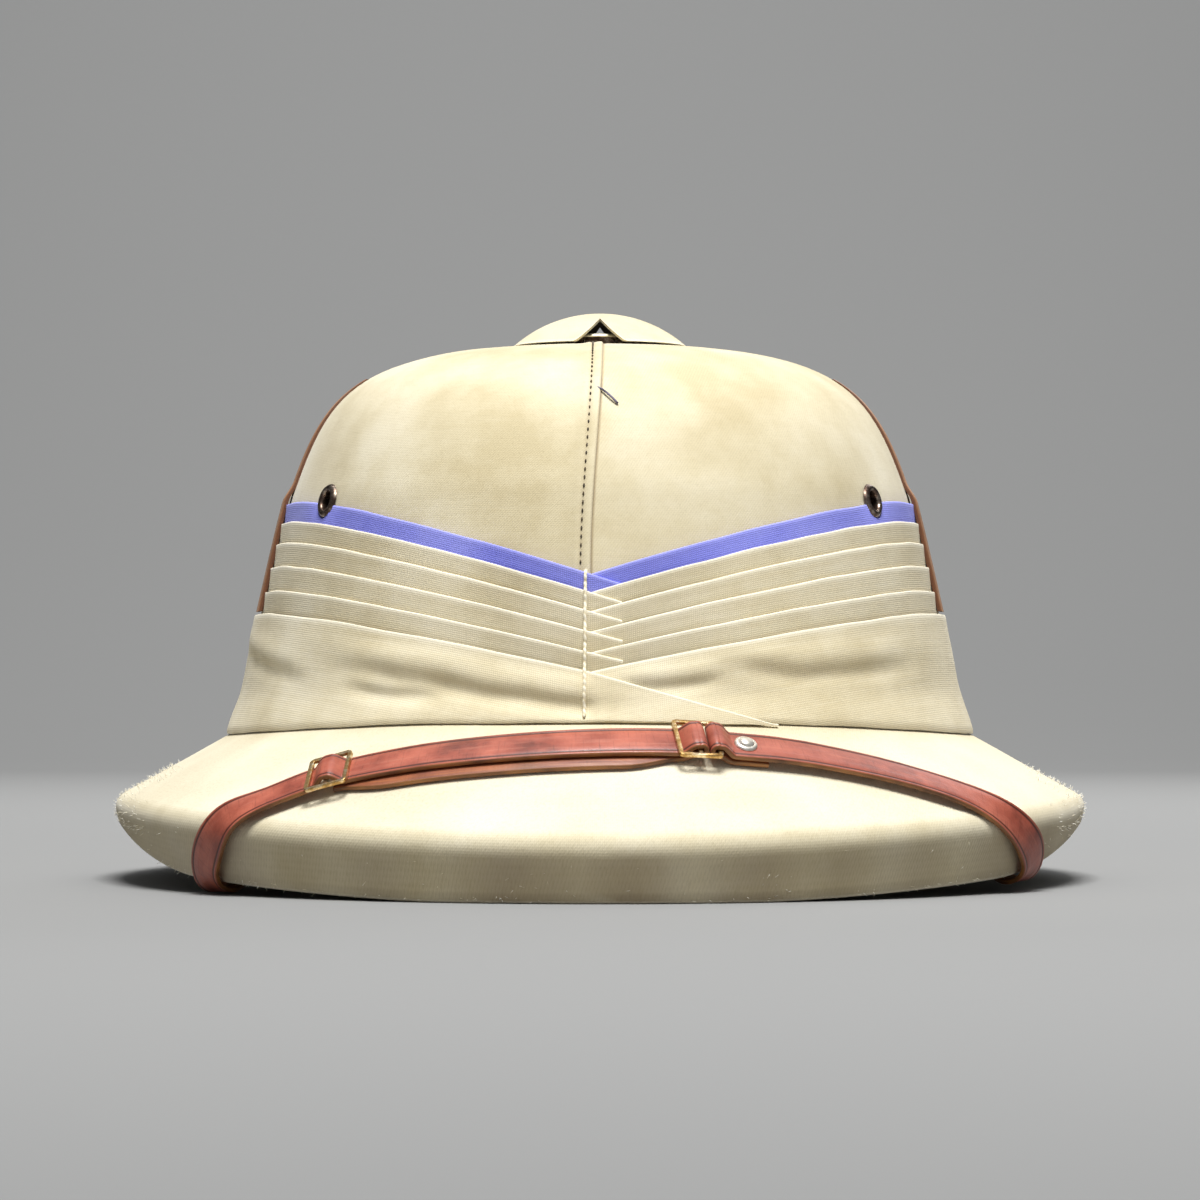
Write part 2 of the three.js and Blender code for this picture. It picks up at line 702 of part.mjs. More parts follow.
// From the hidden end, along under the brim, round the rim and up on to the slope
function rimStretch(stops, calm) {
  const under = travelledToShare(stops, rimPass.from);
  const over = travelledToShare(stops, rimPass.to);
  return [
    ...stretch(0, under, lowStand, rimPass.stand, 6),
    ...stretch(under, over, rimPass.stand, rimPass.stand, 16),
    ...stretch(over, calm, rimPass.stand, lowStand, 12),
  ];
}

// Turn round a bar of a buckle, from above it to below it
function barTurn(centre, towards, count) {
  const steps = [];
  for (let i = 1; i < count; i++) {
    const turn = (Math.PI * i) / count;
    const reach = frame.rise * Math.sin(turn);
    steps.push({ travel: centre + towards * reach, stand: frame.stand + frame.rise * Math.cos(turn), shift: 0 });
  }
  return steps;
}

const slideAt = travelledTo(leftStops, slideAngle, true);
const buckleAt = travelledTo(leftStops, buckleAngle, true);
const barEdge = frame.bar / 2 + 0.1;

function leftPath() {
  const pitch = frame.barPitch;
  const weave = pitch - barEdge;
  const calm = slideAt - pitch - 12;
  const endBar = buckleAt - pitch;
  const sag = -returnSag;
  const backTo = slideAt + 1.5;
  return [
    { travel: 0, stand: lowStand, shift: 0 },
    ...rimStretch(leftStops, calm),
    ...stretch(calm, slideAt - pitch - barEdge, lowStand, highStand, 4),
    ...stretch(slideAt - pitch - barEdge, slideAt - weave, highStand, highStand, 1),
    ...stretch(slideAt - weave, slideAt - barEdge, highStand, overStand, 6),
    ...stretch(slideAt - barEdge, slideAt + barEdge, overStand, overStand, 1),
    ...stretch(slideAt + barEdge, slideAt + weave, overStand, highStand, 6),
    ...stretch(slideAt + weave, slideAt + pitch + barEdge, highStand, highStand, 1),
    ...stretch(slideAt + pitch + barEdge, endBar - barEdge, highStand, highStand, 14),
    ...stretch(endBar - barEdge, endBar + barEdge, highStand, highStand, 1),
    ...stretch(endBar + barEdge, buckleAt - barEdge, highStand, overStand, 6),
    ...stretch(buckleAt - barEdge, buckleAt, overStand, overStand, 1),
    ...barTurn(buckleAt, 1, 8),
    { travel: buckleAt, stand: highStand, shift: 0 },
    ...stretch(buckleAt, endBar, highStand, lowStand, 5),
    ...stretch(endBar, endBar - 14, lowStand, lowStand, 3, 0, sag),
    ...stretch(endBar - 14, slideAt + pitch + 12, lowStand, lowStand, 12, sag, sag),
    ...stretch(slideAt + pitch + 12, backTo, lowStand, lowStand, 3, sag, 0),
  ];
}

const rightBuckleAt = travelledTo(rightStops, buckleAngle, false);
const rightBarAt = rightBuckleAt - frame.barPitch;

function rightPath() {
  const calm = rightBarAt - tailReach - 6;
  return [
    { travel: 0, stand: lowStand, shift: 0 },
    ...rimStretch(rightStops, calm),
    ...stretch(calm, rightBarAt - tailReach + 6, lowStand, highStand, 5),
    ...stretch(rightBarAt - tailReach + 6, rightBarAt - 4.4, highStand, highStand, 3),
    ...stretch(rightBarAt - 4.4, rightBarAt - barEdge, highStand, overStand, 6),
    ...stretch(rightBarAt - barEdge, rightBarAt, overStand, overStand, 1),
    ...barTurn(rightBarAt, 1, 8),
    { travel: rightBarAt, stand: highStand, shift: 0 },
    ...stretch(rightBarAt, rightBarAt - 4.2, highStand, lowStand, 5),
    ...stretch(rightBarAt - 4.2, rightBarAt - tailReach + 6, lowStand, lowStand, 3),
  ];
}

// Buckle frame with a middle bar
function makeFrame(stops, travelled) {
  const at = routeAt(stops, travelled);
  const [long, wide] = [frame.along / 2, frame.across / 2];
  const round = 1.2;
  const plate = new THREE.Shape();
  plate.moveTo(-long + round, -wide);
  plate.lineTo(long - round, -wide);
  plate.quadraticCurveTo(long, -wide, long, -wide + round);
  plate.lineTo(long, wide - round);
  plate.quadraticCurveTo(long, wide, long - round, wide);
  plate.lineTo(-long + round, wide);
  plate.quadraticCurveTo(-long, wide, -long, wide - round);
  plate.lineTo(-long, -wide + round);
  plate.quadraticCurveTo(-long, -wide, -long + round, -wide);
  const block = new THREE.ExtrudeGeometry(plate, { depth: frame.thickness, bevelEnabled: false, curveSegments: 3 });
  const windows = [-1, 1].map((side) => {
    const opening = new THREE.BoxGeometry(frame.barPitch - frame.bar, frame.across - 2 * frame.bar, 4);
    return opening.translate(side * frame.barPitch / 2, 0, 0);
  });
  const geometry = cut(block, ...windows);
  geometry.translate(0, 0, frame.stand - frame.thickness / 2);
  const basis = new THREE.Matrix4().makeBasis(at.ahead, at.across, at.normal).setPosition(at.point);
  return faceOutwards(geometry.applyMatrix4(basis));
}

// Tape over the side of the crown
function makeTape(side) {
  const stripeTop = foldRows[0].side + 1;
  const outlines = tapeHeights.map((z) => {
    const stand = lerp(tape.scarfStand, tape.crownStand, smoothstep(z, stripeTop, stripeTop + tape.settle));
    const swing = radToDeg(tape.width / 2 / (crownHalfWidth(z) * crownStretch));
    const [front, back] = [side * (tape.angle - swing), side * (tape.angle + swing)];
    return [
      wallPoint(front, z, stand + tape.thickness),
      wallPoint(back, z, stand + tape.thickness),
      wallPoint(back, z, stand),
      wallPoint(front, z, stand),
    ];
  });
  return skin(outlines);
}

// Studs through the leather
const studAt = routeAt(rightStops, rightBuckleAt - studReach);
const studBase = highStand + strapThickness / 2 + 0.15;

function makeStud() {
  const foot = lowStand - strapThickness / 2 + 0.1;
  const profile = [
    [0, studBase + stud.dome],
    [stud.head * 0.55, studBase + stud.dome * 0.82],
    [stud.head * 0.9, studBase + stud.dome * 0.38],
    [stud.head, studBase],
    [stud.shank, studBase],
    [stud.shank, foot],
    [0, foot],
  ];
  return turned(profile, 16, studAt.point, studAt.normal);
}

function anchorPlace(stops) {
  return routeAt(stops, anchor.fromEnd);
}

function makeAnchor(stops) {
  const at = anchorPlace(stops);
  const base = lowStand + strapThickness / 2 + 0.35;
  const profile = [
    [0, base + anchor.thickness],
    [anchor.head - 0.6, base + anchor.thickness],
    [anchor.head, base + anchor.thickness - 0.6],
    [anchor.head, base],
    [anchor.shank, base],
    [anchor.shank, fitGap],
    [0, fitGap],
  ];
  return turned(profile, 14, at.point, at.normal);
}

const holeFor = (at, radius) => drill(at.point, at.normal, radius, -1, 8);

// The pieces
const part = new THREE.Group();
part.name = "pith_helmet";

function addPiece(name, geometry, color, roughness, metalness = 0) {
  const whole = mergeVertices(geometry, 1e-5);
  whole.computeVertexNormals();
  const mesh = new THREE.Mesh(whole, new THREE.MeshStandardMaterial({ color, roughness, metalness }));
  mesh.name = name;
  part.add(mesh);
}

const holeRadius = eyelet.barrel + fitGap;
const eyeletSides = [{ side: "left", angle: -eyelet.angle }, { side: "right", angle: eyelet.angle }];
const crownHoles = eyeletSides.map(({ angle }) => eyeletHole(angle, holeRadius, -12, 6));
const stripeNotches = eyeletSides.map(({ angle }) => eyeletHole(angle, eyelet.flange + fitGap, -1, 8));

addPiece("crown", cut(makeCrown(), ...crownHoles), khaki, 0.9);

const brimOutlines = [];
for (let line = 0; line < brimLines; line++) {
  brimOutlines.push(brimOutline((360 * line) / brimLines).map((row) => row.point));
}
addPiece("brim", skin(brimOutlines, true), khaki, 0.9);

addPiece("vent_cap", makeCap(), khaki, 0.9);
addPiece("vent_collar", makeCollar(), paleMetal, 0.45, 0.8);
for (const { side, angle } of eyeletSides) {
  addPiece(`eyelet_${side}`, makeEyelet(angle), darkBrass, 0.45, 0.9);
}

foldRows.slice(0, -1).forEach((row, k) => {
  const fold = makeFold(k);
  addPiece(row.name, k === 0 ? cut(fold, ...stripeNotches) : fold, row.colour, 0.9);
});
addPiece("puggaree_wrap", makeWrap(), foldRows[foldRows.length - 1].colour, 0.9);

addPiece("side_tape_left", makeTape(-1), tan, 0.7);
addPiece("side_tape_right", makeTape(1), tan, 0.7);

addPiece("strap_left", cut(ribbon(leftStops, leftPath()), holeFor(anchorPlace(leftStops), anchor.shank + 0.2)), leather, 0.6);
const rightHoles = [holeFor(anchorPlace(rightStops), anchor.shank + 0.2), holeFor(studAt, stud.shank + 0.2)];
addPiece("strap_right", cut(ribbon(rightStops, rightPath()), ...rightHoles), leather, 0.6);
addPiece("strap_slide", makeFrame(leftStops, slideAt), brass, 0.4, 0.9);
addPiece("strap_buckle", makeFrame(leftStops, buckleAt), brass, 0.4, 0.9);
addPiece("strap_stud", makeStud(), brass, 0.35, 0.9);
addPiece("strap_anchor_left", makeAnchor(leftStops), darkBrass, 0.4, 0.9);
addPiece("strap_anchor_right", makeAnchor(rightStops), darkBrass, 0.4, 0.9);

export default part;
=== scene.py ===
import bisect
import math
import random

import bmesh
import bpy
from mathutils import Matrix, Vector, noise


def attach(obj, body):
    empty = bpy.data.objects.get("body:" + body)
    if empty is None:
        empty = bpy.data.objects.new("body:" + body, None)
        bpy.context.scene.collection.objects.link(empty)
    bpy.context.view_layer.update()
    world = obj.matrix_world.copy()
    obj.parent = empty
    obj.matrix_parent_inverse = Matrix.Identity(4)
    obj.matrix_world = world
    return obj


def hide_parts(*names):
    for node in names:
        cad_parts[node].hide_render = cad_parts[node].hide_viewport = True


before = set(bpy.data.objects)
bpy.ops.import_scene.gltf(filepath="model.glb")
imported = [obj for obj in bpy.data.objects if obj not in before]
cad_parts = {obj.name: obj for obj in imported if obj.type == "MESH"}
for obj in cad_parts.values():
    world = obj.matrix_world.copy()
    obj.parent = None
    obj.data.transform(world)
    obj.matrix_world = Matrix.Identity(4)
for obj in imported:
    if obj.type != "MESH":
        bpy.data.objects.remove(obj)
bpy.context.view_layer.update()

mm = 0.001  # shapes are drawn in millimetres, finishPiece scales them once
random.seed(11)


def mix(a, b, t):
    return a + (b - a) * t


def limit(x, low, high):
    return min(max(x, low), high)


def ease(x, low, high):
    t = limit((x - low) / (high - low), 0, 1)
    return t * t * (3 - 2 * t)


def ripple(x, y, size, layer=0):  # soft unevenness between -1 and 1
    return noise.noise(Vector((x / size, y / size, layer * 7.3)))


def steps(count, first=0.0, last=1.0):
    return [mix(first, last, i / count) for i in range(count + 1)]


# finishes

def tone(code):  # screen colour as the linear one the shader wants
    parts = [int(code[i:i + 2], 16) / 255 for i in (1, 3, 5)]
    return tuple(p / 12.92 if p <= 0.04045 else ((p + 0.055) / 1.055) ** 2.4 for p in parts) + (1,)


def startFinish(name, sockets):
    finish = bpy.data.materials.new(name)
    finish.use_nodes = True
    shader = finish.node_tree.nodes["Principled BSDF"]
    for socket, value in sockets.items():
        shader.inputs[socket].default_value = value
    return finish


def plug(finish, node, socket, value):
    if isinstance(value, bpy.types.NodeSocket):
        finish.node_tree.links.new(value, node.inputs[socket])
    else:
        node.inputs[socket].default_value = value


def addNode(finish, kind, sockets=None, **settings):
    node = finish.node_tree.nodes.new("ShaderNode" + kind)
    for key, value in settings.items():
        setattr(node, key, value)
    for socket, value in (sockets or {}).items():
        plug(finish, node, socket, value)
    return node


def blendTone(finish, factor, first, second, mode="MIX"):
    node = addNode(finish, "Mix", {0: factor, 6: first, 7: second}, data_type="RGBA", blend_type=mode)
    return node.outputs[2]


def sums(finish, operation, first, second=0.5):
    return addNode(finish, "Math", {0: first, 1: second}, operation=operation).outputs[0]


def spread(finish, value, fromLow, fromHigh, toLow, toHigh):
    sockets = {0: value, 1: fromLow, 2: fromHigh, 3: toLow, 4: toHigh}
    return addNode(finish, "MapRange", sockets).outputs[0]


def shades(finish, factor, stops):
    node = addNode(finish, "ValToRGB", {0: factor})
    ramp = node.color_ramp
    ramp.elements[0].position, ramp.elements[0].color = stops[0]
    ramp.elements[1].position, ramp.elements[1].color = stops[-1]
    for position, colour in stops[1:-1]:
        ramp.elements.new(position).color = colour
    return node.outputs[0]


def stretched(finish, vector, scale):
    return addNode(finish, "Mapping", {"Vector": vector, "Scale": scale}).outputs[0]


def cloud(finish, vector, scale, detail=3.0, roughness=0.55):
    sockets = {"Vector": vector, "Scale": scale, "Detail": detail, "Roughness": roughness}
    return addNode(finish, "TexNoise", sockets).outputs[0]


def threads(finish, vector, pitch, direction):  # one set of threads, pitch in millimetres of the cloth map
    sockets = {"Vector": vector, "Scale": 0.314 / pitch, "Distortion": 0.5,
               "Detail": 1.0, "Detail Scale": 0.6}
    return addNode(finish, "TexWave", sockets, bands_direction=direction).outputs[1]


def fromMesh(finish, name):
    return addNode(finish, "Attribute", attribute_name=name).outputs["Fac"]


def plugShader(finish, colour, rough, height, strength, distance):
    shader = finish.node_tree.nodes["Principled BSDF"]
    sockets = {"Height": height, "Strength": strength, "Distance": distance}
    plug(finish, shader, "Base Color", colour)
    plug(finish, shader, "Roughness", rough)
    plug(finish, shader, "Normal", addNode(finish, "Bump", sockets).outputs[0])
    return finish


# each look's nap is the pale tone that wear and painted highlight mix to, its grime the dark tone for dirt
# and painted shade
clothLooks = {
    "khakiDrill": {
        "deep": "#c9bb96", "mid": "#d7cbaa", "pale": "#e2d8bc", "nap": "#f6efd9", "grimeAndShade": "#7d6440",
        "pitch": 0.5, "twill": True, "relief": 0.17, "sheen": 0.2, "streak": 0.12},
    "scarfCotton": {
        "deep": "#d8caa5", "mid": "#e6dab9", "pale": "#efe5c9", "nap": "#fbf5e2", "grimeAndShade": "#8a774c",
        "pitch": 0.55, "twill": False, "relief": 0.24, "sheen": 0.15, "streak": 0.3},
    "blueCotton": {
        "deep": "#888cf2", "mid": "#9599f8", "pale": "#a3a7fd", "nap": "#c4c6ff", "grimeAndShade": "#6a6ab8",
        "pitch": 0.55, "twill": False, "relief": 0.30, "sheen": 0.1, "streak": 0.18},
    # painted shade: the cap's inside is drawn near-black, standing in for the shadow under the dome
    "capInsideShade": {
        "deep": "#2a2116", "mid": "#352a1c", "pale": "#413423", "nap": "#5c4c34", "grimeAndShade": "#1c150e",
        "pitch": 0.7, "twill": False, "relief": 0.3, "sheen": 0.0, "streak": 0.2},
}


def clothFinish(name):
    look = clothLooks[name]
    sheen = {"Sheen Weight": look["sheen"], "Sheen Roughness": 0.5, "Specular IOR Level": 0.2}
    finish = startFinish(name, sheen)
    laid = addNode(finish, "UVMap", uv_map="cloth").outputs[0]
    place = addNode(finish, "TexCoord").outputs["Object"]
    warp = threads(finish, laid, look["pitch"], "X")
    weft = threads(finish, laid, look["pitch"], "Y")
    weave = sums(finish, "MULTIPLY", warp, weft)
    if look["twill"]:  # slanting ribs of drill over the plain threads
        rib = threads(finish, laid, look["pitch"] * 0.9, "DIAGONAL")
        weave = sums(finish, "ADD", sums(finish, "MULTIPLY", weave, 0.5), sums(finish, "MULTIPLY", rib, 0.5))
    mottle = cloud(finish, place, 26, 5, 0.6)
    smear = cloud(finish, place, 9, 2, 0.5)
    slub = cloud(finish, stretched(finish, laid, (0.035, 0.9, 1)), 1.0, 3, 0.6)
    grain = cloud(finish, laid, 1.3, 2)
    deep, mid, pale = tone(look["deep"]), tone(look["mid"]), tone(look["pale"])
    colour = shades(finish, mottle, [(0.36, deep), (0.5, mid), (0.64, pale)])
    colour = blendTone(finish, spread(finish, smear, 0.52, 0.72, 0, 0.35), colour, deep)
    colour = blendTone(finish, spread(finish, slub, 0.45, 0.75, 0, look["streak"]), colour, deep)
    colour = blendTone(finish, spread(finish, slub, 0.5, 0.25, 0, look["streak"]), colour, pale)
    gaps = shades(finish, weave, [(0.0, (0.72, 0.70, 0.66, 1)), (0.45, (1, 1, 1, 1))])
    colour = blendTone(finish, 0.35, colour, gaps, "MULTIPLY")
    speckle = shades(finish, grain, [(0.30, (0.86, 0.85, 0.82, 1)), (0.5, (1, 1, 1, 1))])
    colour = blendTone(finish, 0.5, colour, speckle, "MULTIPLY")
    # grime mask: real dirt and stains, and painted shade on the flange, under fold edges, at the hem and
    # inside the cap
    dirtAndShade = sums(finish, "MULTIPLY", fromMesh(finish, "grimeAndShade"), spread(finish, mottle, 0.25, 0.6, 0.35, 1))
    colour = blendTone(finish, dirtAndShade, colour, tone(look["grimeAndShade"]))
    # wear mask: real wear, and painted highlight on the fold and wrap top edges and the brim slope
    wornAndLit = sums(finish, "MULTIPLY", fromMesh(finish, "wearAndHighlight"), spread(finish, grain, 0.25, 0.6, 0.6, 1))
    colour = blendTone(finish, wornAndLit, colour, tone(look["nap"]))
    height = sums(finish, "ADD", weave, sums(finish, "MULTIPLY", grain, 0.6))
    height = sums(finish, "ADD", height, sums(finish, "MULTIPLY", slub, 0.5))
    rough = spread(finish, mottle, 0.3, 0.7, 0.78, 0.95)
    return plugShader(finish, colour, rough, height, look["relief"], 0.0003)


leatherLooks = {
    "strapHide": {
        "deep": "#4f1f14", "mid": "#954836", "pale": "#b6624c", "raw": "#a8703c", "rawDark": "#4c2c18",
        "scuff": "#c07f69", "line": "#33130b", "crease": 4.35},
    "tapeHide": {
        "deep": "#8a5a38", "mid": "#b07c52", "pale": "#c69670", "raw": "#7a4c30", "rawDark": "#4e3020",
        "scuff": "#d8b08e", "line": "#6a422a", "crease": 4.9},
}


def leatherFinish(name):
    look = leatherLooks[name]
    finish = startFinish(name, {"Coat Weight": 0.12, "Coat Roughness": 0.35, "Specular IOR Level": 0.45})
    laid = addNode(finish, "UVMap", uv_map="cloth").outputs[0]
    place = addNode(finish, "TexCoord").outputs["Object"]
    split = addNode(finish, "SeparateXYZ", {0: laid})
    fromMiddle = sums(finish, "ABSOLUTE", split.outputs[0])
    mottle = cloud(finish, place, 85, 4, 0.6)
    drag = cloud(finish, stretched(finish, laid, (0.9, 0.05, 1)), 1.0, 3, 0.6)  # rubbed along the strap
    pores = addNode(finish, "TexVoronoi", {"Vector": laid, "Scale": 1.7}).outputs[0]
    cracks = cloud(finish, stretched(finish, laid, (0.12, 1.6, 1)), 1.0, 3, 0.7)  # fine cracks across it
    deep, mid, pale = tone(look["deep"]), tone(look["mid"]), tone(look["pale"])
    colour = shades(finish, mottle, [(0.2, deep), (0.45, mid), (0.68, pale)])
    colour = blendTone(finish, spread(finish, drag, 0.52, 0.75, 0, 0.45), colour, tone(look["scuff"]))
    colour = blendTone(finish, spread(finish, cracks, 0.56, 0.7, 0, 0.4), colour, deep)
    away = sums(finish, "ABSOLUTE", sums(finish, "SUBTRACT", fromMiddle, look["crease"]))
    colour = blendTone(finish, spread(finish, away, 0.16, 0.55, 0.85, 0), colour, tone(look["line"]))
    rawMix = spread(finish, drag, 0.35, 0.65, 0, 1)
    rawTone = blendTone(finish, rawMix, tone(look["raw"]), tone(look["rawDark"]))
    colour = blendTone(finish, fromMesh(finish, "raw"), colour, rawTone)
    rough = spread(finish, drag, 0.3, 0.7, 0.34, 0.58)
    height = sums(finish, "ADD", sums(finish, "MULTIPLY", pores, 0.5), sums(finish, "MULTIPLY", cracks, -0.7))
    return plugShader(finish, colour, rough, height, 0.3, 0.0002)


metalLooks = {
    "wornBrass": {"bare": "#ecd9b4", "dull": "#c39e63", "tarnish": "#8a693a",
                  "rough": (0.28, 0.5), "metal": 1.0},
    "darkBrass": {"bare": "#a8998a", "dull": "#6a574c", "tarnish": "#2a1c15",
                  "rough": (0.25, 0.5), "metal": 1.0},
    "paleMetal": {"bare": "#e6dfc8", "dull": "#c6bda2", "tarnish": "#8a7f66",
                  "rough": (0.35, 0.55), "metal": 0.6},
    "rubbedStud": {"bare": "#f3efe6", "dull": "#d9d3c6", "tarnish": "#b5ac9c",
                   "rough": (0.3, 0.42), "metal": 0.75},
}


def metalFinish(name):
    look = metalLooks[name]
    finish = startFinish(name, {"Metallic": look["metal"]})
    place = addNode(finish, "TexCoord").outputs["Object"]
    patch = cloud(finish, place, 420, 4, 0.65)
    scratch = cloud(finish, stretched(finish, place, (3000, 260, 3000)), 1.0, 2, 0.5)
    stops = [(0.3, tone(look["tarnish"])), (0.5, tone(look["dull"])), (0.62, tone(look["bare"]))]
    colour = shades(finish, patch, stops)
    colour = blendTone(finish, spread(finish, scratch, 0.55, 0.7, 0, 0.35), colour, tone(look["bare"]))
    rough = spread(finish, patch, 0.3, 0.65, look["rough"][1], look["rough"][0])
    height = sums(finish, "ADD", patch, sums(finish, "MULTIPLY", scratch, 0.4))
    return plugShader(finish, colour, rough, height, 0.15, 0.0001)


threadLooks = {
    "seamThread": {"light": "#5b4c34", "dark": "#33291a", "twist": 2.2},
    "bindingCord": {"light": "#fbf4de", "dark": "#e6d9b4", "twist": 1.1},
    "looseThread": {"light": "#7d7688", "dark": "#4b4654", "twist": 1.6},
    "napFibre": {"light": "#fffdf2", "dark": "#e9dfc2", "twist": 1.0},
}


def threadFinish(name):
    look = threadLooks[name]
    finish = startFinish(name, {"Sheen Weight": 0.3, "Sheen Roughness": 0.5, "Specular IOR Level": 0.2})
    place = addNode(finish, "TexCoord").outputs["Object"]
    sockets = {"Vector": place, "Scale": 314 / look["twist"], "Distortion": 0.8, "Detail": 1.0}
    ply = addNode(finish, "TexWave", sockets, bands_direction="DIAGONAL").outputs[1]
    uneven = cloud(finish, place, 900, 3)
    colour = shades(finish, ply, [(0.1, tone(look["dark"])), (0.6, tone(look["light"]))])
    colour = blendTone(finish, spread(finish, uneven, 0.4, 0.7, 0, 0.4), colour, tone(look["dark"]))
    return plugShader(finish, colour, spread(finish, uneven, 0.3, 0.7, 0.75, 0.95), ply, 0.4, 0.0002)


khakiDrill, scarfCotton, blueCotton, capInsideShade = (clothFinish(name) for name in clothLooks)
strapHide, tapeHide = (leatherFinish(name) for name in leatherLooks)
wornBrass, darkBrass, paleMetal, rubbedStud = (metalFinish(name) for name in metalLooks)
seamThread, bindingCord, looseThread, napFibre = (threadFinish(name) for name in threadLooks)
print("finishes ready")


# making and finishing a piece

def layCloth(columns, rows, place, chart, marks=None):
    # a flat grid, one vertex for each pair of stations, laid where place says
    # marks are the mesh's own values: wear that is partly painted highlight, grime that is partly painted
    # shade
    bm = bmesh.new()
    bmesh.ops.create_grid(bm, x_segments=len(columns) - 1, y_segments=len(rows) - 1, size=0.5)
    cloth = bm.loops.layers.uv.new("cloth")
    layers = {key: bm.verts.layers.float.new(key) for key in (marks or {})}
    spots = {}
    for vert in bm.verts:
        column = columns[round((vert.co.x + 0.5) * (len(columns) - 1))]
        row = rows[round((vert.co.y + 0.5) * (len(rows) - 1))]
        spots[vert] = (column, row)
    for face in bm.faces:
        for loop in face.loops:
            loop[cloth].uv = chart(*spots[loop.vert])
    for vert, spot in spots.items():
        vert.co = place(*spot)
        for key, layer in layers.items():
            vert[layer] = marks[key](*spot)
    bmesh.ops.remove_doubles(bm, verts=bm.verts, dist=0.002)
    bmesh.ops.dissolve_degenerate(bm, edges=bm.edges, dist=0.0005)
    return bm


def closeEnds(bm):
    open_ = [edge for edge in bm.edges if edge.is_boundary]
    if open_:
        bmesh.ops.holes_fill(bm, edges=open_, sides=0)


def finishPiece(name, bm, finish, nodes=(), sharp=None, lining=None):
    bmesh.ops.recalc_face_normals(bm, faces=bm.faces)
    bmesh.ops.scale(bm, vec=(mm, mm, mm), verts=bm.verts)
    mesh = bpy.data.meshes.new(name)
    bm.to_mesh(mesh)
    bm.free()
    mesh.shade_smooth()
    if sharp:
        mesh.set_sharp_from_angle(angle=math.radians(sharp))
    mesh.materials.append(finish)
    if lining:
        mesh.materials.append(lining)
    piece = bpy.data.objects.new(name, mesh)
    bpy.context.scene.collection.objects.link(piece)
    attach(piece, "root")
    if nodes:
        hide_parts(*nodes)
    print(name, len(mesh.polygons), "faces")
    return piece


def standOn(place, direction):  # matrix that stands a turned shape on a place, along a direction
    return Matrix.Translation(place) @ direction.to_track_quat("Z", "Y").to_matrix().to_4x4()


def turnProfile(bm, profile, count, matrix):
    line = [bm.verts.new((radius, 0, height)) for radius, height in profile]
    edges = [bm.edges.new(pair) for pair in zip(line, line[1:])]
    bmesh.ops.spin(bm, geom=line + edges, cent=(0, 0, 0), axis=(0, 0, 1), angle=math.tau, steps=count,
                   use_merge=True)
    bmesh.ops.transform(bm, matrix=matrix, verts=bm.verts)
    bmesh.ops.remove_doubles(bm, verts=bm.verts, dist=0.002)
    bmesh.ops.dissolve_degenerate(bm, edges=bm.edges, dist=0.0005)


# crown: one line from the top to the foot, carried round an oval

crown = {
    "centreY": -5.5, "wall": 6, "stretch": 1.2, "ventHole": 13, "footBelowJoin": 6.2,
    "dome": [(0, 147.8), (66.5, 147.8), (75.5, 138), (86.1, 105.6)],
    "side": [(86.1, 105.6), (89.1, 93.6), (94.5, 62), (101, 34)],
    "lap": [(-6.5, 0), (-5.4, 0.08), (-4.6, 0.26), (-3.7, 0.4), (-3.1, 0.32), (-2.7, 0.2), (-2.3, 0.32),
            (-1.5, 0.5), (-0.6, 0.56), (-0.22, 0.5), (-0.04, 0.26), (0.05, -0.06), (0.7, -0.02), (1.8, 0)],
    "lean": {"low": -2.3, "high": 0.8, "from": 82, "to": 147},  # the front seam isn't quite upright
    "panelColumns": 26, "rowsOutside": 60, "rowsInside": 16,
}


def curvePoint(handles, t):
    a, b, c, d = (Vector(handle) for handle in handles)
    n = 1 - t
    return a * n ** 3 + b * (3 * n * n * t) + c * (3 * n * t * t) + d * t ** 3


crownLine = [curvePoint(crown["dome"], i / 400) for i in range(400)]
crownLine += [curvePoint(crown["side"], i / 400) for i in range(401)]
crownRun = [0.0]
for before, after in zip(crownLine, crownLine[1:]):
    crownRun.append(crownRun[-1] + (after - before).length)
crownFall = [-point.y for point in crownLine]


def crownIndexAt(z):
    return limit(bisect.bisect_left(crownFall, -z), 1, len(crownLine) - 1)


def crownHalfWidth(z):
    i = crownIndexAt(z)
    above, below = crownLine[i - 1], crownLine[i]
    return mix(above.x, below.x, limit((above.y - z) / ((above.y - below.y) or 1), 0, 1))


def crownRunAt(z):
    i = crownIndexAt(z)
    above, below = crownLine[i - 1], crownLine[i]
    return mix(crownRun[i - 1], crownRun[i], limit((above.y - z) / ((above.y - below.y) or 1), 0, 1))


def crownAlong(run):  # half width, height and the outward square of the drawn line
    i = limit(bisect.bisect_left(crownRun, run), 1, len(crownLine) - 1)
    share = (run - crownRun[i - 1]) / (crownRun[i] - crownRun[i - 1])
    at = crownLine[i - 1].lerp(crownLine[i], share)
    along = (crownLine[min(i + 3, len(crownLine) - 1)] - crownLine[max(i - 4, 0)]).normalized()
    return at.x, at.y, -along.y, along.x


def stretchAt(halfWidth):
    return 1 + (crown["stretch"] - 1) * ease(halfWidth, crown["ventHole"], 60)


def ovalPoint(halfWidth, halfLength, centreY, angle, z):
    turn = math.radians(angle)
    return Vector((halfWidth * math.sin(turn), centreY - halfLength * math.cos(turn), z))


def wallPoint(angle, z, out=0.0):
    half = crownHalfWidth(z)
    return ovalPoint(half + out, half * stretchAt(half) + out, crown["centreY"], angle, z)


def wallNormal(angle, z):
    around = wallPoint(angle + 1, z) - wallPoint(angle - 1, z)
    up = wallPoint(angle, z + 1) - wallPoint(angle, z - 1)
    return around.cross(up).normalized()


# scarf: top edge of each fold at the side and in front

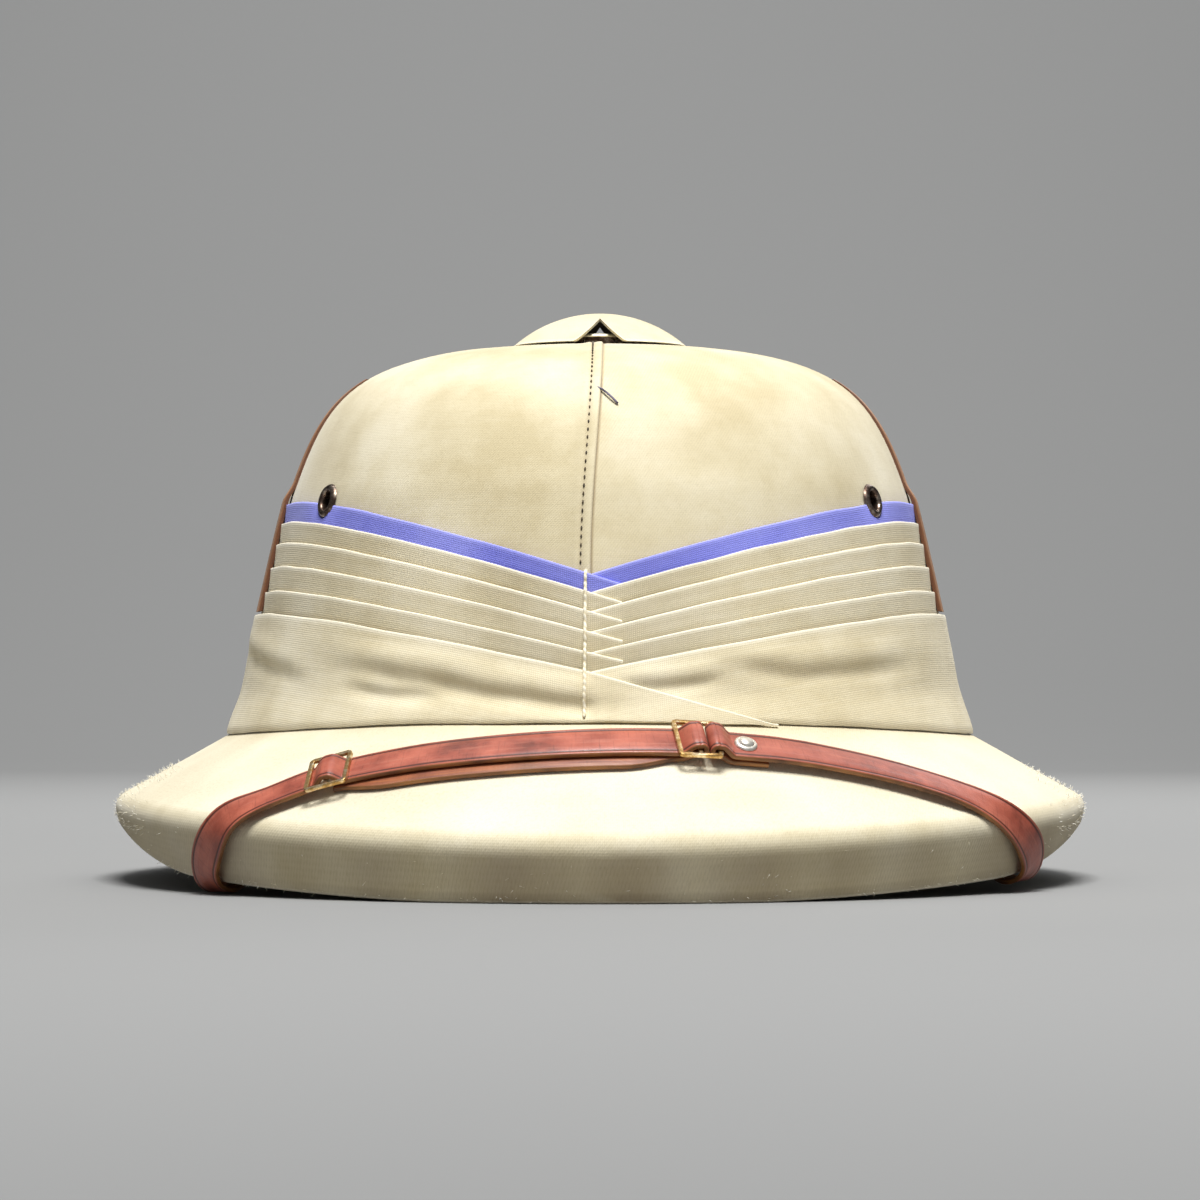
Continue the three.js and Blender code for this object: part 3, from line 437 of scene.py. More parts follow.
scarf = {
    "edges": [(103.4, 82.0), (98.0, 77.3), (92.3, 72.4), (85.9, 67.2), (79.2, 61.9), (73.0, 57.0)],
    "dipPower": 1.7, "dipReach": 70, "sway": -1.4, "cloth": 0.6, "tucked": 0.3, "layer": 0.66, "tuck": 5.0,
    "stand": 1.35, "standStep": 0.22, "standCrossing": 0.9, "crossFull": 8, "crossGone": 26,
    "rightEnd": -2.5, "leftEnd": 4.8,
    "wrapEnd": 26, "wrapFall": 29, "wrapTuckFall": 24, "hemStand": 4.4, "waist": 2.9, "waistCrossing": 0.6,
    "wrapStand": 3.3,
}


def foldedAngle(angle):
    return 90 - abs(90 - abs(angle) % 180)


def swayed(angle):
    return angle - scarf["sway"] * max(0, 1 - abs(angle) / 90)


def foldEdge(k, angle):
    side, front = scarf["edges"][k]
    return side - (side - front) * max(0, 1 - abs(swayed(angle)) / scarf["dipReach"]) ** scarf["dipPower"]


def crossShare(angle):
    return 1 - ease(abs(swayed(angle)), scarf["crossFull"], scarf["crossGone"])


# brim: oval rim, slope down to a ridge, flange turned down

brim = {
    "halfWidth": 133.6, "halfLength": 166, "wall": 5, "joinSide": 42, "joinFront": 47, "ridgeSide": 22.3,
    "ridgeFront": 15.4, "gentle": 7.6, "flatShare": 0.1, "arch": 8.6, "archFrom": 50, "archTo": 82,
    "flangeSide": -1.5, "flangeFront": -4.2, "setback": 4.6, "chamfer": 0.9, "gap": 0.3, "columns": 180,
}


def joinAt(angle):
    return mix(brim["joinSide"], brim["joinFront"], math.cos(math.radians(angle)) ** 2)


def archAt(angle):
    return ease(foldedAngle(angle), brim["archFrom"], brim["archTo"])


def brimFrame(angle):
    join = joinAt(angle)
    inner = wallPoint(angle, join, brim["gap"])
    outward = ovalPoint(brim["halfWidth"], brim["halfLength"], 0, angle, join) - inner
    run = outward.length
    across = math.sin(math.radians(angle)) ** 2
    arch = archAt(angle)
    return {
        "join": join, "inner": inner, "outward": outward.normalized(), "run": run,
        "ridgeRun": run - mix(brim["flangeFront"], brim["flangeSide"], arch),
        "ridge": mix(brim["ridgeFront"], brim["ridgeSide"], across),
        "foot": brim["gentle"] * max(0, across - brim["flatShare"]) + brim["arch"] * arch,
    }


def brimTop(angle, reach):
    at = brimFrame(angle)
    return mix(at["join"], at["ridge"], reach / at["ridgeRun"])


outlineKept = {}


def brimOutline(angle):  # (share, point) down the slope, round the rim and back below
    if angle in outlineKept:
        return outlineKept[angle]
    at = brimFrame(angle)
    join, ridge = Vector((0, at["join"])), Vector((at["ridgeRun"], at["ridge"]))
    rim = Vector((at["run"], at["foot"]))
    slope = (ridge - join).normalized()
    drop = rim - ridge
    setback = min(brim["setback"], drop.length * 0.45)
    drop.normalize()
    start, end = ridge - slope * setback, ridge + drop * setback

    def bend(t):
        return start * (1 - t) ** 2 + ridge * (2 * t * (1 - t)) + end * t * t

    def bendUnder(t):
        along = ((ridge - start) * (1 - t) + (end - ridge) * t).normalized()
        return bend(t) + Vector((along.y, -along.x)) * brim["wall"]

    chamfer, thick = brim["chamfer"], brim["wall"] / max(-drop.y, 0.6)
    rows = [(share, join.lerp(start, share / 0.87)) for share in steps(11, 0, 0.87)]
    rows += [(mix(0.87, 1.15, t), bend(t)) for t in steps(10)[1:]]
    lowOut, footOut = rim - drop * chamfer, Vector((at["run"] - chamfer, at["foot"]))
    footIn = Vector((at["run"] - thick + chamfer, at["foot"]))
    lowIn = Vector((at["run"] - thick, at["foot"])) - drop * chamfer
    rows += [(mix(1.15, 1.95, t), end.lerp(lowOut, t)) for t in steps(5)[1:]]
    rows += [(2.0, (lowOut + footOut) / 2 + (rim - (lowOut + footOut) / 2) * 0.35), (2.05, footOut)]
    rows += [(2.35, footIn), (2.45, lowIn)]
    rows.append((mix(2.45, 2.9, 0.5), lowIn.lerp(bendUnder(1), 0.5)))
    rows += [(mix(3.1, 2.9, t), bendUnder(t)) for t in steps(6, 1, 0)]
    points = [(share, at["inner"] + at["outward"] * flat.x + Vector((0, 0, flat.y - at["join"])))
              for share, flat in rows]
    last = wallPoint(angle, at["join"] - brim["wall"] / slope.x, brim["gap"])
    points += [(mix(3.1, 4, t), points[-1][1].lerp(last, t)) for t in steps(6)[1:]]
    outlineKept[angle] = points
    return points


def brimPoint(angle, share):
    rows = brimOutline(angle)
    i = limit(bisect.bisect_left([row[0] for row in rows], share), 1, len(rows) - 1)
    before, after = rows[i - 1], rows[i]
    return before[1].lerp(after[1], (share - before[0]) / (after[0] - before[0]))


def brimNormal(angle, share):
    around = brimPoint(angle + 1, share) - brimPoint(angle - 1, share)
    down = brimPoint(angle, min(share + 0.06, 4)) - brimPoint(angle, max(share - 0.06, 0))
    return down.cross(around).normalized()


# crown shell

def lapAngle(seam, offset, radius, z):
    lean = crown["lean"]
    shift = mix(lean["low"], lean["high"], ease(z, lean["from"], lean["to"])) if seam % 4 == 0 else 0
    return 90 * seam + math.degrees((offset + shift) / max(radius, 14))


def crownAngle(station, radius, z):
    kind, seam, at, height = station
    if kind == "lap":
        return lapAngle(seam, at, radius, z)
    near, far = lapOf(seam)[-1][0], lapOf(seam + 1)[0][0]
    return mix(lapAngle(seam, near, radius, z), lapAngle(seam + 1, far, radius, z), at)


def lapOf(seam):  # the right seam laps the other way, so both side edges face the front
    return [(-offset, height) for offset, height in reversed(crown["lap"])] if seam == 1 else crown["lap"]


def lapSign(seam):
    return -1 if seam == 1 else 1


crownColumns = []
for seam in range(4):
    crownColumns += [("lap", seam, offset, height) for offset, height in lapOf(seam)]
    crownColumns += [("panel", seam, share, 0) for share in steps(crown["panelColumns"])[1:-1]]
crownColumns.append(("lap", 4, *crown["lap"][0]))
crownRows = [("out", share) for share in steps(crown["rowsOutside"])]
crownRows += [("in", share) for share in steps(crown["rowsInside"], 1, 0.04)] + [("hole", 0), ("out", 0)]


holeRun = crownRun[bisect.bisect_left([point.x for point in crownLine], crown["ventHole"])]


def crownStation(station, row):
    nominal = crownAlong(mix(holeRun, crownRunAt(38), row[1]))
    angle = crownAngle(station, nominal[0], nominal[1])
    run = mix(holeRun, crownRunAt(joinAt(angle) - crown["footBelowJoin"]), row[1])
    return angle, run


def crownPlace(station, row):
    angle, run = crownStation(station, row)
    half, z, outward, upward = crownAlong(run)
    if row[0] == "hole":
        return ovalPoint(half, half, crown["centreY"], angle, z - crown["wall"])
    out = -crown["wall"]
    if row[0] == "out":
        signed = (angle + 180) % 360 - 180
        stripe = foldEdge(0, signed)
        out = station[3] * ease(z, stripe - 4, stripe - 1) * ease(half, 24, 30)
        out += 0.16 * ripple(signed * 1.4, z, 22) * ease(half, 26, 50)
    reach = outward * out
    return ovalPoint(half + reach, half * stretchAt(half) + reach, crown["centreY"], angle, z + upward * out)


def crownChart(station, row):
    angle, run = crownStation(station, row)
    half = crownAlong(run)[0]
    panel = station[1] if station[0] == "panel" or station[2] > 0 else station[1] - 1
    middle = panel * 90 + 45
    return half * 1.1 * math.radians(angle - middle) + panel * 400, run + (200 if row[0] != "out" else 0)


def lapDirt(station, row):
    if station[0] != "lap" or row[0] != "out":
        return 0
    offset = station[2] * lapSign(station[1])
    line = 0.85 * max(0, 1 - abs(offset - 0.05) / 0.4)
    needle = 0.3 * max(0, 1 - abs(offset + 2.7) / 0.8)
    return min(line + needle, 0.9)


def crownWear(station, row):
    offset = station[2] * lapSign(station[1])
    return 0.12 * max(0, 1 - abs(offset + 0.8) / 0.9) if station[0] == "lap" and row[0] == "out" else 0


eyelet = {"angle": 56.5, "height": 102.7, "flange": 4.7, "hole": 2.6, "barrel": 3.3, "clear": 3.6,
          "sides": 14}


def cutRoundHole(bm, place, direction, radius, sides, reach):
    turn = direction.to_track_quat("Z", "Y")

    def fromAxis(point):
        off = point - place
        along = off.dot(direction)
        return (off - direction * along).length, along

    for i in range(sides):
        square = turn @ Vector((math.cos(math.tau * i / sides), math.sin(math.tau * i / sides), 0))
        near = []
        for face in bm.faces:
            away, along = fromAxis(face.calc_center_median())
            if away < radius * 2.2 and -reach < along < reach:
                near.append(face)
        edges = {edge for face in near for edge in face.edges}
        verts = {vert for face in near for vert in face.verts}
        bmesh.ops.bisect_plane(bm, geom=list(verts) + list(edges) + near, dist=0.0005,
                               plane_co=place + square * radius, plane_no=square)
    inside = []
    for face in bm.faces:
        away, along = fromAxis(face.calc_center_median())
        if away < radius * 1.001 and -reach < along < reach:
            inside.append(face)
    bmesh.ops.delete(bm, geom=inside, context="FACES")
    open_ = [edge for edge in bm.edges if edge.is_boundary and fromAxis(edge.verts[0].co)[0] < radius * 2]
    return open_


crownMarks = {"wearAndHighlight": crownWear, "grimeAndShade": lapDirt}
bm = layCloth(crownColumns, crownRows, crownPlace, crownChart, crownMarks)
bmesh.ops.recalc_face_normals(bm, faces=bm.faces)
eyeletPlaces = []
for angle in (-eyelet["angle"], eyelet["angle"]):
    place, direction = wallPoint(angle, eyelet["height"]), wallNormal(angle, eyelet["height"])
    eyeletPlaces.append((place, direction))
    rims = cutRoundHole(bm, place, direction, eyelet["clear"], eyelet["sides"], 12)
    bmesh.ops.bridge_loops(bm, edges=rims)
crownShell = finishPiece("crownShell", bm, khakiDrill, ["crown"], sharp=50)

# brim shell
brimColumns = steps(brim["columns"], 0, 360)
brimRows = list(range(len(brimOutline(0.0)))) + [0]


def brimPlace(angle, row):
    angle = angle % 360
    share, point = brimOutline(angle)[row]
    signed = (angle + 180) % 360 - 180
    if 0.1 < share < 1.9:
        soft = (0.22 * ripple(signed * 1.2, share * 40, 26, 3)
                * ease(share, 0.1, 0.5) * (1 - ease(share, 1.5, 1.9)))
        point = point + brimNormal(angle, share) * soft
    return point


brimLengths = [0.0]
for before, after in zip(brimOutline(90.0), brimOutline(90.0)[1:]):
    brimLengths.append(brimLengths[-1] + (after[1] - before[1]).length)
brimLengths.append(brimLengths[-1] + brim["wall"])


def brimChart(angle, row):
    return math.radians(angle) * 130, brimLengths[row] if row else 0


def brimWearAndLight(angle, row):
    share = brimOutline(angle % 360)[row][0]
    ridge = max(0, 1 - abs(share - 1.03) / 0.12)
    rim = max(0, 1 - abs(share - 2.0) / 0.06)
    slope = ease(share, 0.02, 0.25) * (1 - ease(share, 0.86, 1.0))  # painted light: the upward slope drawn paler, as if lit from above
    # ridge and rim terms are real edge wear; the slope term is painted light
    return 0.35 * ridge * (0.5 + 0.5 * ripple(angle, 0, 9, 5)) + 0.55 * rim + 0.45 * slope


def brimStainsAndShade(angle, row):
    share = brimOutline(angle % 360)[row][0]
    signed = (angle + 180) % 360 - 180
    stain = 0.0
    for where, wide, heavy in ((-30, 5, 0.34), (-24, 7, 0.22), (13, 6, 0.3), (20, 5, 0.22)):
        stain += heavy * math.exp(-((signed - where) / wide) ** 2) * math.exp(-((share - 0.66) / 0.09) ** 2)
    # painted shade: the turned-down flange drawn darker, most near its foot, as if out of the overhead light;
    # the stains above are real
    low = 0.3 * ease(share, 1.75, 1.98) * (1 - ease(share, 2.0, 2.2))
    low += 0.62 * ease(share, 1.0, 1.2) * (1 - ease(share, 1.97, 2.1))
    return min(stain + low * (0.6 + 0.6 * ripple(angle, 0, 6, 8)), 0.8)


bm = layCloth(brimColumns, brimRows, brimPlace, brimChart, {"wearAndHighlight": brimWearAndLight, "grimeAndShade": brimStainsAndShade})
brimShell = finishPiece("brimShell", bm, khakiDrill, ["brim"])

# ventilator cap: shallow dome with a pointed notch in front and behind
cap = {"radius": 24.3, "seat": 148.1, "top": 157.4, "wall": 0.9, "notchHalf": 7.2, "notchRise": 7.2,
       "notchDepth": 15, "rows": 18}
capRise = cap["top"] - cap["seat"]
capBow = (cap["radius"] ** 2 + capRise ** 2) / (2 * capRise)
capCentre = cap["top"] - capBow


def notchHeight(x):
    share = limit(1 - abs(x) / cap["notchHalf"], 0, 1)
    return cap["seat"] + cap["notchRise"] * (0.72 * share + 0.28 * share * share)


def capEdge(angle, bow, last):  # lean where the dome stops: the seat, or the notch above it
    turn = math.radians(angle)
    low, high = 0.0, last
    if abs(bow * math.sin(last) * math.sin(turn)) >= cap["notchHalf"]:
        return last
    for _ in range(40):
        lean = (low + high) / 2
        over = capCentre + bow * math.cos(lean) - notchHeight(bow * math.sin(lean) * math.sin(turn))
        low, high = (lean, high) if over > 0 else (low, lean)
    deep = math.asin(limit((cap["radius"] - cap["notchDepth"]) / bow, 0, 1))
    return max(low, deep)


capLast = math.asin(cap["radius"] / capBow)


def capPlace(angle, row):
    kind, share = row
    bow = capBow if kind == "out" else capBow - cap["wall"]
    edge = capEdge(angle, capBow, capLast * 0.995)
    lean = edge * share
    if kind == "in":
        lean = edge * share * (0.985 if edge < capLast * 0.99 else 0.93)
    z = capCentre + bow * math.cos(lean)
    if kind == "in" and share == 1 and edge > capLast * 0.99:
        z = cap["seat"]
    return ovalPoint(bow * math.sin(lean), bow * math.sin(lean), crown["centreY"], angle, max(z, cap["seat"]))


capColumns = [angle for middle in (0, 180) for angle in
              [middle + x for x in steps(24, -24, 24)[:-1]] + [middle + x for x in steps(44, 24, 156)[:-1]]]
capColumns.append(capColumns[0] + 360)
capRows = [("out", share) for share in steps(cap["rows"])] + [("in", share) for share in steps(8, 1, 0)]


def capChart(angle, row):
    run = row[1] * 26
    turn, inside = math.radians(angle), 80 if row[0] == "in" else 0
    return run * math.sin(turn), run * math.cos(turn) + inside


def capWear(angle, row):
    return 0.5 * ease(row[1], 0.93, 1) if row[0] == "out" else 0.2 * ease(row[1], 0.9, 1)


# painted shade: marks the cap's inside, which takes the near-black finish
def capShadeMask(angle, row):
    return 1.0 if row[0] == "in" and row[1] < 1 else 0.0


bm = layCloth(capColumns, capRows, capPlace, capChart, {"wearAndHighlight": capWear, "grimeAndShade": capShadeMask})
grimeAndShade = bm.verts.layers.float["grimeAndShade"]
for face in bm.faces:
    face.material_index = 1 if any(vert[grimeAndShade] == 1 for vert in face.verts) else 0
ventCap = finishPiece("ventCap", bm, khakiDrill, ["vent_cap"], sharp=60, lining=capInsideShade)

# collar that the cap stands on: a rolled bead over a sunk foot
collar = {"inner": 14.5, "outer": 16.6, "seat": 148.1, "top": 150.75, "neck": 15.3}
bead, top = collar["outer"], collar["top"]
profile = [(collar["inner"], collar["seat"]), (collar["neck"], collar["seat"]), (collar["neck"], top - 1.15)]
profile += [(bead - 0.5, top - 1.15), (bead - 0.12, top - 0.95), (bead, top - 0.6), (bead - 0.15, top - 0.25)]
profile += [(bead - 0.5, top - 0.05), (bead - 1.0, top), (collar["inner"] + 0.2, top - 0.1)]
profile += [(collar["inner"], top - 0.5), (collar["inner"], collar["seat"])]
bm = bmesh.new()
turnProfile(bm, profile, 64, Matrix.Translation((0, crown["centreY"], 0)))
# painted shade: the faces below the bead take dark brass, standing in for the shadow under the bead
dark = [face for face in bm.faces if face.calc_center_median().z < top - 1.0]
for face in dark:
    face.material_index = 1
ventCollar = finishPiece("ventCollar", bm, paleMetal, ["vent_collar"], sharp=40,
                         lining=darkBrass)

# eyelets: flanged tubes with a rolled rim
for side, (place, direction) in zip(("left", "right"), eyeletPlaces):
    hole, flange, barrel = eyelet["hole"], eyelet["flange"], eyelet["barrel"]
    profile = [(hole, 0.3), (hole + 0.06, 0.8), (hole + 0.3, 1.2), (hole + 0.75, 1.42), (hole + 1.3, 1.36),
               (flange - 0.4, 1.0), (flange - 0.08, 0.62), (flange, 0.3), (barrel, 0.3), (barrel, -7.4),
               (barrel + 1, -7.4), (barrel + 1, -8.2), (hole, -8.2), (hole, 0.3)]
    bm = bmesh.new()
    turnProfile(bm, profile, 40, standOn(place, direction))
    finishPiece("eyelet" + side.title(), bm, darkBrass, ["eyelet_" + side], sharp=50)

# folds of the scarf


def foldStand(k, angle, z):  # the cloth is thin, and lies thicker only where the ends cross
    upper, lower = foldEdge(k, angle), foldEdge(k + 1, angle)
    cross = crossShare(angle)
    drop = (scarf["layer"] * (1 + cross) + 0.02) * (upper - z) / (upper - lower)
    return scarf["stand"] + scarf["standStep"] * k + scarf["standCrossing"] * cross - drop


def overLift(angle):
    return scarf["layer"] * (1 if swayed(angle) > 0 else crossShare(angle))


def isPast(angle, left):
    return swayed(angle) > 0.01 if left else swayed(angle) < -0.01


def unSway(middleAngle):
    return middleAngle + scarf["sway"] * (1 - abs(middleAngle) / 90)


def scarfColumns(leftEnd):  # from the right end, round the back, to the left end that lies on top
    first, last = unSway(scarf["rightEnd"]), leftEnd
    right = steps(8, first, 10)[:-1] + steps(20, 10, 40)[:-1] + steps(70, 40, 180)
    left = steps(70, -180, -40)[1:-1] + steps(20, -40, -10)[:-1] + steps(24, -10, 10)
    if last > 10:
        left += steps(20, 10, last)[1:]
    else:
        left = [angle for angle in left if angle < last - 0.3] + [last]
    return [(angle, False) for angle in right] + [(angle, True) for angle in left]


foldRows = [("face", share) for share in steps(12, 0, 1)] + [("roll", share) for share in steps(8)[1:]]
foldRows += [("back", share) for share in steps(6, 1, 0)[1:]] + [("face", 0)]


def foldHeights(k, angle, left):
    bottom = foldEdge(k + 1, angle) - scarf["tuck"]
    top = foldEdge(k, angle)
    if isPast(angle, left):
        side, front = scarf["edges"][k]
        top = front - (side - front) * scarf["dipPower"] / scarf["dipReach"] * abs(swayed(angle))
    calm = ease(abs(swayed(angle)), 6, 20)
    top += 0.22 * ripple(angle * 1.5, 0, 11, k + 2) * calm
    return bottom, max(top, bottom + 1.4)


def nearEyelet(angle, z):  # the stripe is pressed flat where an eyelet stands in it
    away = min((wallPoint(angle, z) - place).length for place, direction in eyeletPlaces)
    return 1 - ease(away, 5, 13)


def foldPlace(k, column, row):
    angle, left = column
    bottom, top = foldHeights(k, angle, left)
    lift = overLift(angle) if left else 0
    kind, share = row
    below = foldEdge(k + 1, angle)

    def cloth(z):
        return mix(scarf["cloth"], scarf["tucked"], ease(below - z, 0.3, 3))

    def stand(z):
        lowest = 0.42 + lift * 0.5
        out = max(foldStand(k, angle, z) + lift, lowest)
        out += 0.08 * ripple(angle * 1.3, z * 0.4, 16, 1) * ease(abs(swayed(angle)), 10, 30)
        return mix(out, 0.85, nearEyelet(angle, z)) if k == 0 else out

    half = scarf["cloth"] / 2
    if kind == "roll":
        turn = math.pi * share
        z = top - half * 1.15 + half * 1.15 * math.sin(turn)
        out = stand(top - half) - half + half * 1.12 * math.cos(turn)
    else:
        z = mix(bottom, top - half * 1.15, share)
        out = stand(z) - (cloth(z) if kind == "back" else 0)
        if kind == "face":
            out += half * 0.12 * ease(share, 0.86, 1)  # the folded edge stands a little fat
    return wallPoint(angle, z, out)


def foldChart(k, column, row):
    angle, left = column
    bottom, top = foldHeights(k, angle, left)
    around = math.radians(angle if not left or angle > 90 else angle + 360) * 100
    tall = top - bottom
    height = {"face": row[1] * tall, "roll": tall + row[1] * 1.6, "back": 60 + row[1] * tall}
    return around, height[row[0]] + k * 37


def foldWearAndHighlight(k, column, row):
    # the folded top edge drawn paler: partly wear, partly painted highlight where the edge catches the light
    edge = 1.0 if row[0] == "roll" else ease(row[1], 0.88, 1) * (row[0] == "face")
    return edge * (0.3 if k == 0 else 0.6)


def foldShade(k, column, row):
    if row[0] != "face":
        return 0
    angle, left = column
    bottom, top = foldHeights(k, angle, left)
    z = mix(bottom, top, row[1])
    # painted shade: the face drawn darker just above the next fold's edge, where that edge shades it
    return 0.22 * (1 - ease(z - foldEdge(k + 1, angle), 0, 2.2))


def makeFold(k):
    columns = scarfColumns(scarf["leftEnd"] + scarf["sway"])
    marks = {"wearAndHighlight": lambda c, r: foldWearAndHighlight(k, c, r), "grimeAndShade": lambda c, r: foldShade(k, c, r)}
    bm = layCloth(columns, foldRows, lambda c, r: foldPlace(k, c, r), lambda c, r: foldChart(k, c, r), marks)
    closeEnds(bm)
    return bm


bm = makeFold(0)
bmesh.ops.recalc_face_normals(bm, faces=bm.faces)
for place, direction in eyeletPlaces:
    cutRoundHole(bm, place, direction, eyelet["flange"] + 0.25, 18, 8)
    closeEnds(bm)
puggareeStripe = finishPiece("puggareeStripe", bm, blueCotton, ["puggaree_stripe"], sharp=70)
for k in range(1, 5):
    name, node = f"puggareeFold{k}", f"puggaree_fold_{k}"
    fold = finishPiece(name, makeFold(k), scarfCotton, [node], sharp=70)


# broad lowest turn of the scarf

wrapCreases = [  # soft folds: points on the line as x and height, depth of the valley, reach, bulge above
    {"line": [(-72, 58.8), (-44, 54.4), (-25, 50.4), (-4, 47.6), (14, 46.2)],
     "depth": 1.05, "reach": 2.5, "bulge": 0.9},
    {"line": [(-66, 53.0), (-52, 50.6), (-38, 50.2)], "depth": 0.9, "reach": 1.9, "bulge": 0.6},
    {"line": [(3, 53.2), (14, 52.6), (32, 54.6)], "depth": 0.8, "reach": 1.9, "bulge": 0.65},
    {"line": [(30, 58.5), (50, 55.5), (84, 58.5)], "depth": 0.7, "reach": 2.4, "bulge": 0.6},
    {"line": [(-96, 62.0), (-84, 57.0), (-74, 54.5)], "depth": 0.7, "reach": 2.4, "bulge": 0.5},
]


def creaseAt(x, y, z):
    if y > 20:
        return 0.0
    total = 0.0
    for crease in wrapCreases:
        line = crease["line"]
        if not line[0][0] <= x <= line[-1][0]:
            continue
        i = next(i for i in range(1, len(line)) if x <= line[i][0])
        share = (x - line[i - 1][0]) / (line[i][0] - line[i - 1][0])
        away = z - mix(line[i - 1][1], line[i][1], share * share * (3 - 2 * share) * 0.5 + share * 0.5)
        whole = (x - line[0][0]) / (line[-1][0] - line[0][0])
        fade = ease(whole, 0, 0.25) * (1 - ease(whole, 0.75, 1))
        valley = -crease["depth"] * math.exp(-(away / crease["reach"]) ** 2)
        bulge = crease["bulge"] * math.exp(-((away - crease["reach"] * 2) / (crease["reach"] * 1.5)) ** 2)
        total += (valley + bulge) * fade
    return total


def hemHeight(angle, stand):
    join = joinAt(angle)
    z = join
    for _ in range(6):
        reach = crownHalfWidth(z) + stand - crownHalfWidth(join) - brim["gap"]
        z = brimTop(angle, max(reach, 0)) + 0.55
    return z


wrapRows = [("face", share) for share in steps(26)] + [("roll", share) for share in steps(8)[1:]]
wrapRows += [("back", share) for share in steps(8, 1, 0)[1:]] + [("face", 0)]
wrapKept = {}


def wrapFrame(angle, left):
    if (angle, left) in wrapKept:
        return wrapKept[angle, left]
    cross = crossShare(angle)
    lift = overLift(angle) if left else 0
    stand = scarf["hemStand"] + lift
    foot = hemHeight(angle, stand) + 0.18 * (1 + ripple(angle * 1.6, 3, 8, 6))
    plainTop = foldEdge(5, angle)
    top = plainTop
    if isPast(angle, left):
        fall = scarf["wrapFall"] if left else scarf["wrapTuckFall"]
        top = max(scarf["edges"][5][1] - fall * math.radians(abs(swayed(angle))), foot + 0.5)
    calm = ease(abs(swayed(angle)), 6, 20) if not isPast(angle, left) else 0
    top += 0.25 * ripple(angle * 1.5, 9, 12, 9) * calm
    waist = scarf["waist"] + scarf["waistCrossing"] * cross + lift
    crossed = scarf["stand"] + 5 * scarf["standStep"] + scarf["standCrossing"]
    upper = mix(scarf["wrapStand"], crossed, cross) + lift
    wrapKept[angle, left] = (top, plainTop, foot, stand, waist, upper)
    return wrapKept[angle, left]


def wrapStand(angle, left, z):
    top, plainTop, foot, stand, waist, upper = wrapFrame(angle, left)
    share = limit((plainTop - z) / (plainTop - foot), 0, 1)
    out = mix(upper, waist, ease(share, 0.1, 0.55))
    out = mix(out, stand, ease(share, 0.6, 1))
    at = wallPoint(angle, z)
    hold = ease(share, 0.0, 0.22) * (1 - ease(share, 0.82, 1.0))
    soft = 0.34 * ripple(angle * 1.5, z * 1.6, 24, 12) + 0.14 * ripple(angle * 1.5, z * 1.5, 9, 14)
    overRight = left and swayed(angle) > 0
    crease = creaseAt(at.x, at.y, z) * (0.35 if overRight else 1)
    return out + (crease + soft * (0.3 if overRight else 1)) * hold


def wrapPlace(column, row):
    angle, left = column
    top, plainTop, foot, stand, waist, upper = wrapFrame(angle, left)
    kind, share = row
    half = scarf["cloth"] / 2
    if kind == "roll":
        turn = math.pi * share
        z = top - half * 1.15 + half * 1.15 * math.sin(turn)
        out = wrapStand(angle, left, top - half) - half + half * 1.12 * math.cos(turn)
    else:
        z = mix(foot, top - half * 1.15, share)
        out = wrapStand(angle, left, z) - (scarf["cloth"] if kind == "back" else 0)
        if kind == "face":
            out += half * 0.12 * ease(share, 0.9, 1) - 0.3 * (1 - ease(share, 0, 0.035))
    return wallPoint(angle, z, out)


def wrapChart(column, row):
    angle, left = column
    top, plainTop, foot, stand, waist, upper = wrapFrame(angle, left)
    around = math.radians(angle if not left or angle > 90 else angle + 360) * 100
    z = mix(foot, top, row[1])
    return around, {"face": plainTop - z, "roll": plainTop - top - row[1] * 1.6, "back": 90 + z}[row[0]] + 300


def wrapWearAndHighlight(column, row):
    # the rolled top edge drawn paler: partly wear, partly painted highlight
    return 0.6 if row[0] == "roll" else 0.6 * ease(row[1], 0.95, 1) * (row[0] == "face")


def wrapHemShadow(column, row):
    if row[0] != "face":
        return 0
    # painted shadow: the lowest strip of the face drawn darker where it meets the brim
    return 0.4 * (1 - ease(row[1], 0.0, 0.07)) * (0.7 + 0.5 * ripple(column[0], 0, 5, 15))


wrapMarks = {"wearAndHighlight": wrapWearAndHighlight, "grimeAndShade": wrapHemShadow}
bm = layCloth(scarfColumns(scarf["wrapEnd"]), wrapRows, wrapPlace, wrapChart, wrapMarks)
closeEnds(bm)
puggareeWrap = finishPiece("puggareeWrap", bm, scarfCotton, ["puggaree_wrap"], sharp=70)

# narrow leather tape sewn down each side, over the folds to the broad turn
tape = {"angle": 81.6, "top": 138, "foot": 73.9, "onCrown": 0.12, "scarfTop": 1.45, "scarfFoot": 2.4,
        "settle": 6, "rows": 70}
tapeSection = [  # once round the tape: side, height, rawness of the edge
    (-6, 0.35, 1), (-5.8, 0.62, 0.7), (-5.2, 0.7, 0), (-4.9, 0.64, 0), (-4.5, 0.7, 0), (0, 0.72, 0),
    (4.5, 0.7, 0), (4.9, 0.64, 0), (5.2, 0.7, 0), (5.8, 0.62, 0.7), (6, 0.35, 1), (5.9, -0.5, 1),
    (0, 0, 0.4), (-5.9, -0.5, 1), (-6, 0.35, 1),
]


def tapeStand(z):
    stripeTop, foot = scarf["edges"][0][0], tape["foot"]
    low = mix(tape["scarfTop"], tape["scarfFoot"], limit((stripeTop - z) / (stripeTop - foot), 0, 1))
    return mix(low, tape["onCrown"], ease(z, stripeTop + 0.6, stripeTop + 0.6 + tape["settle"]))


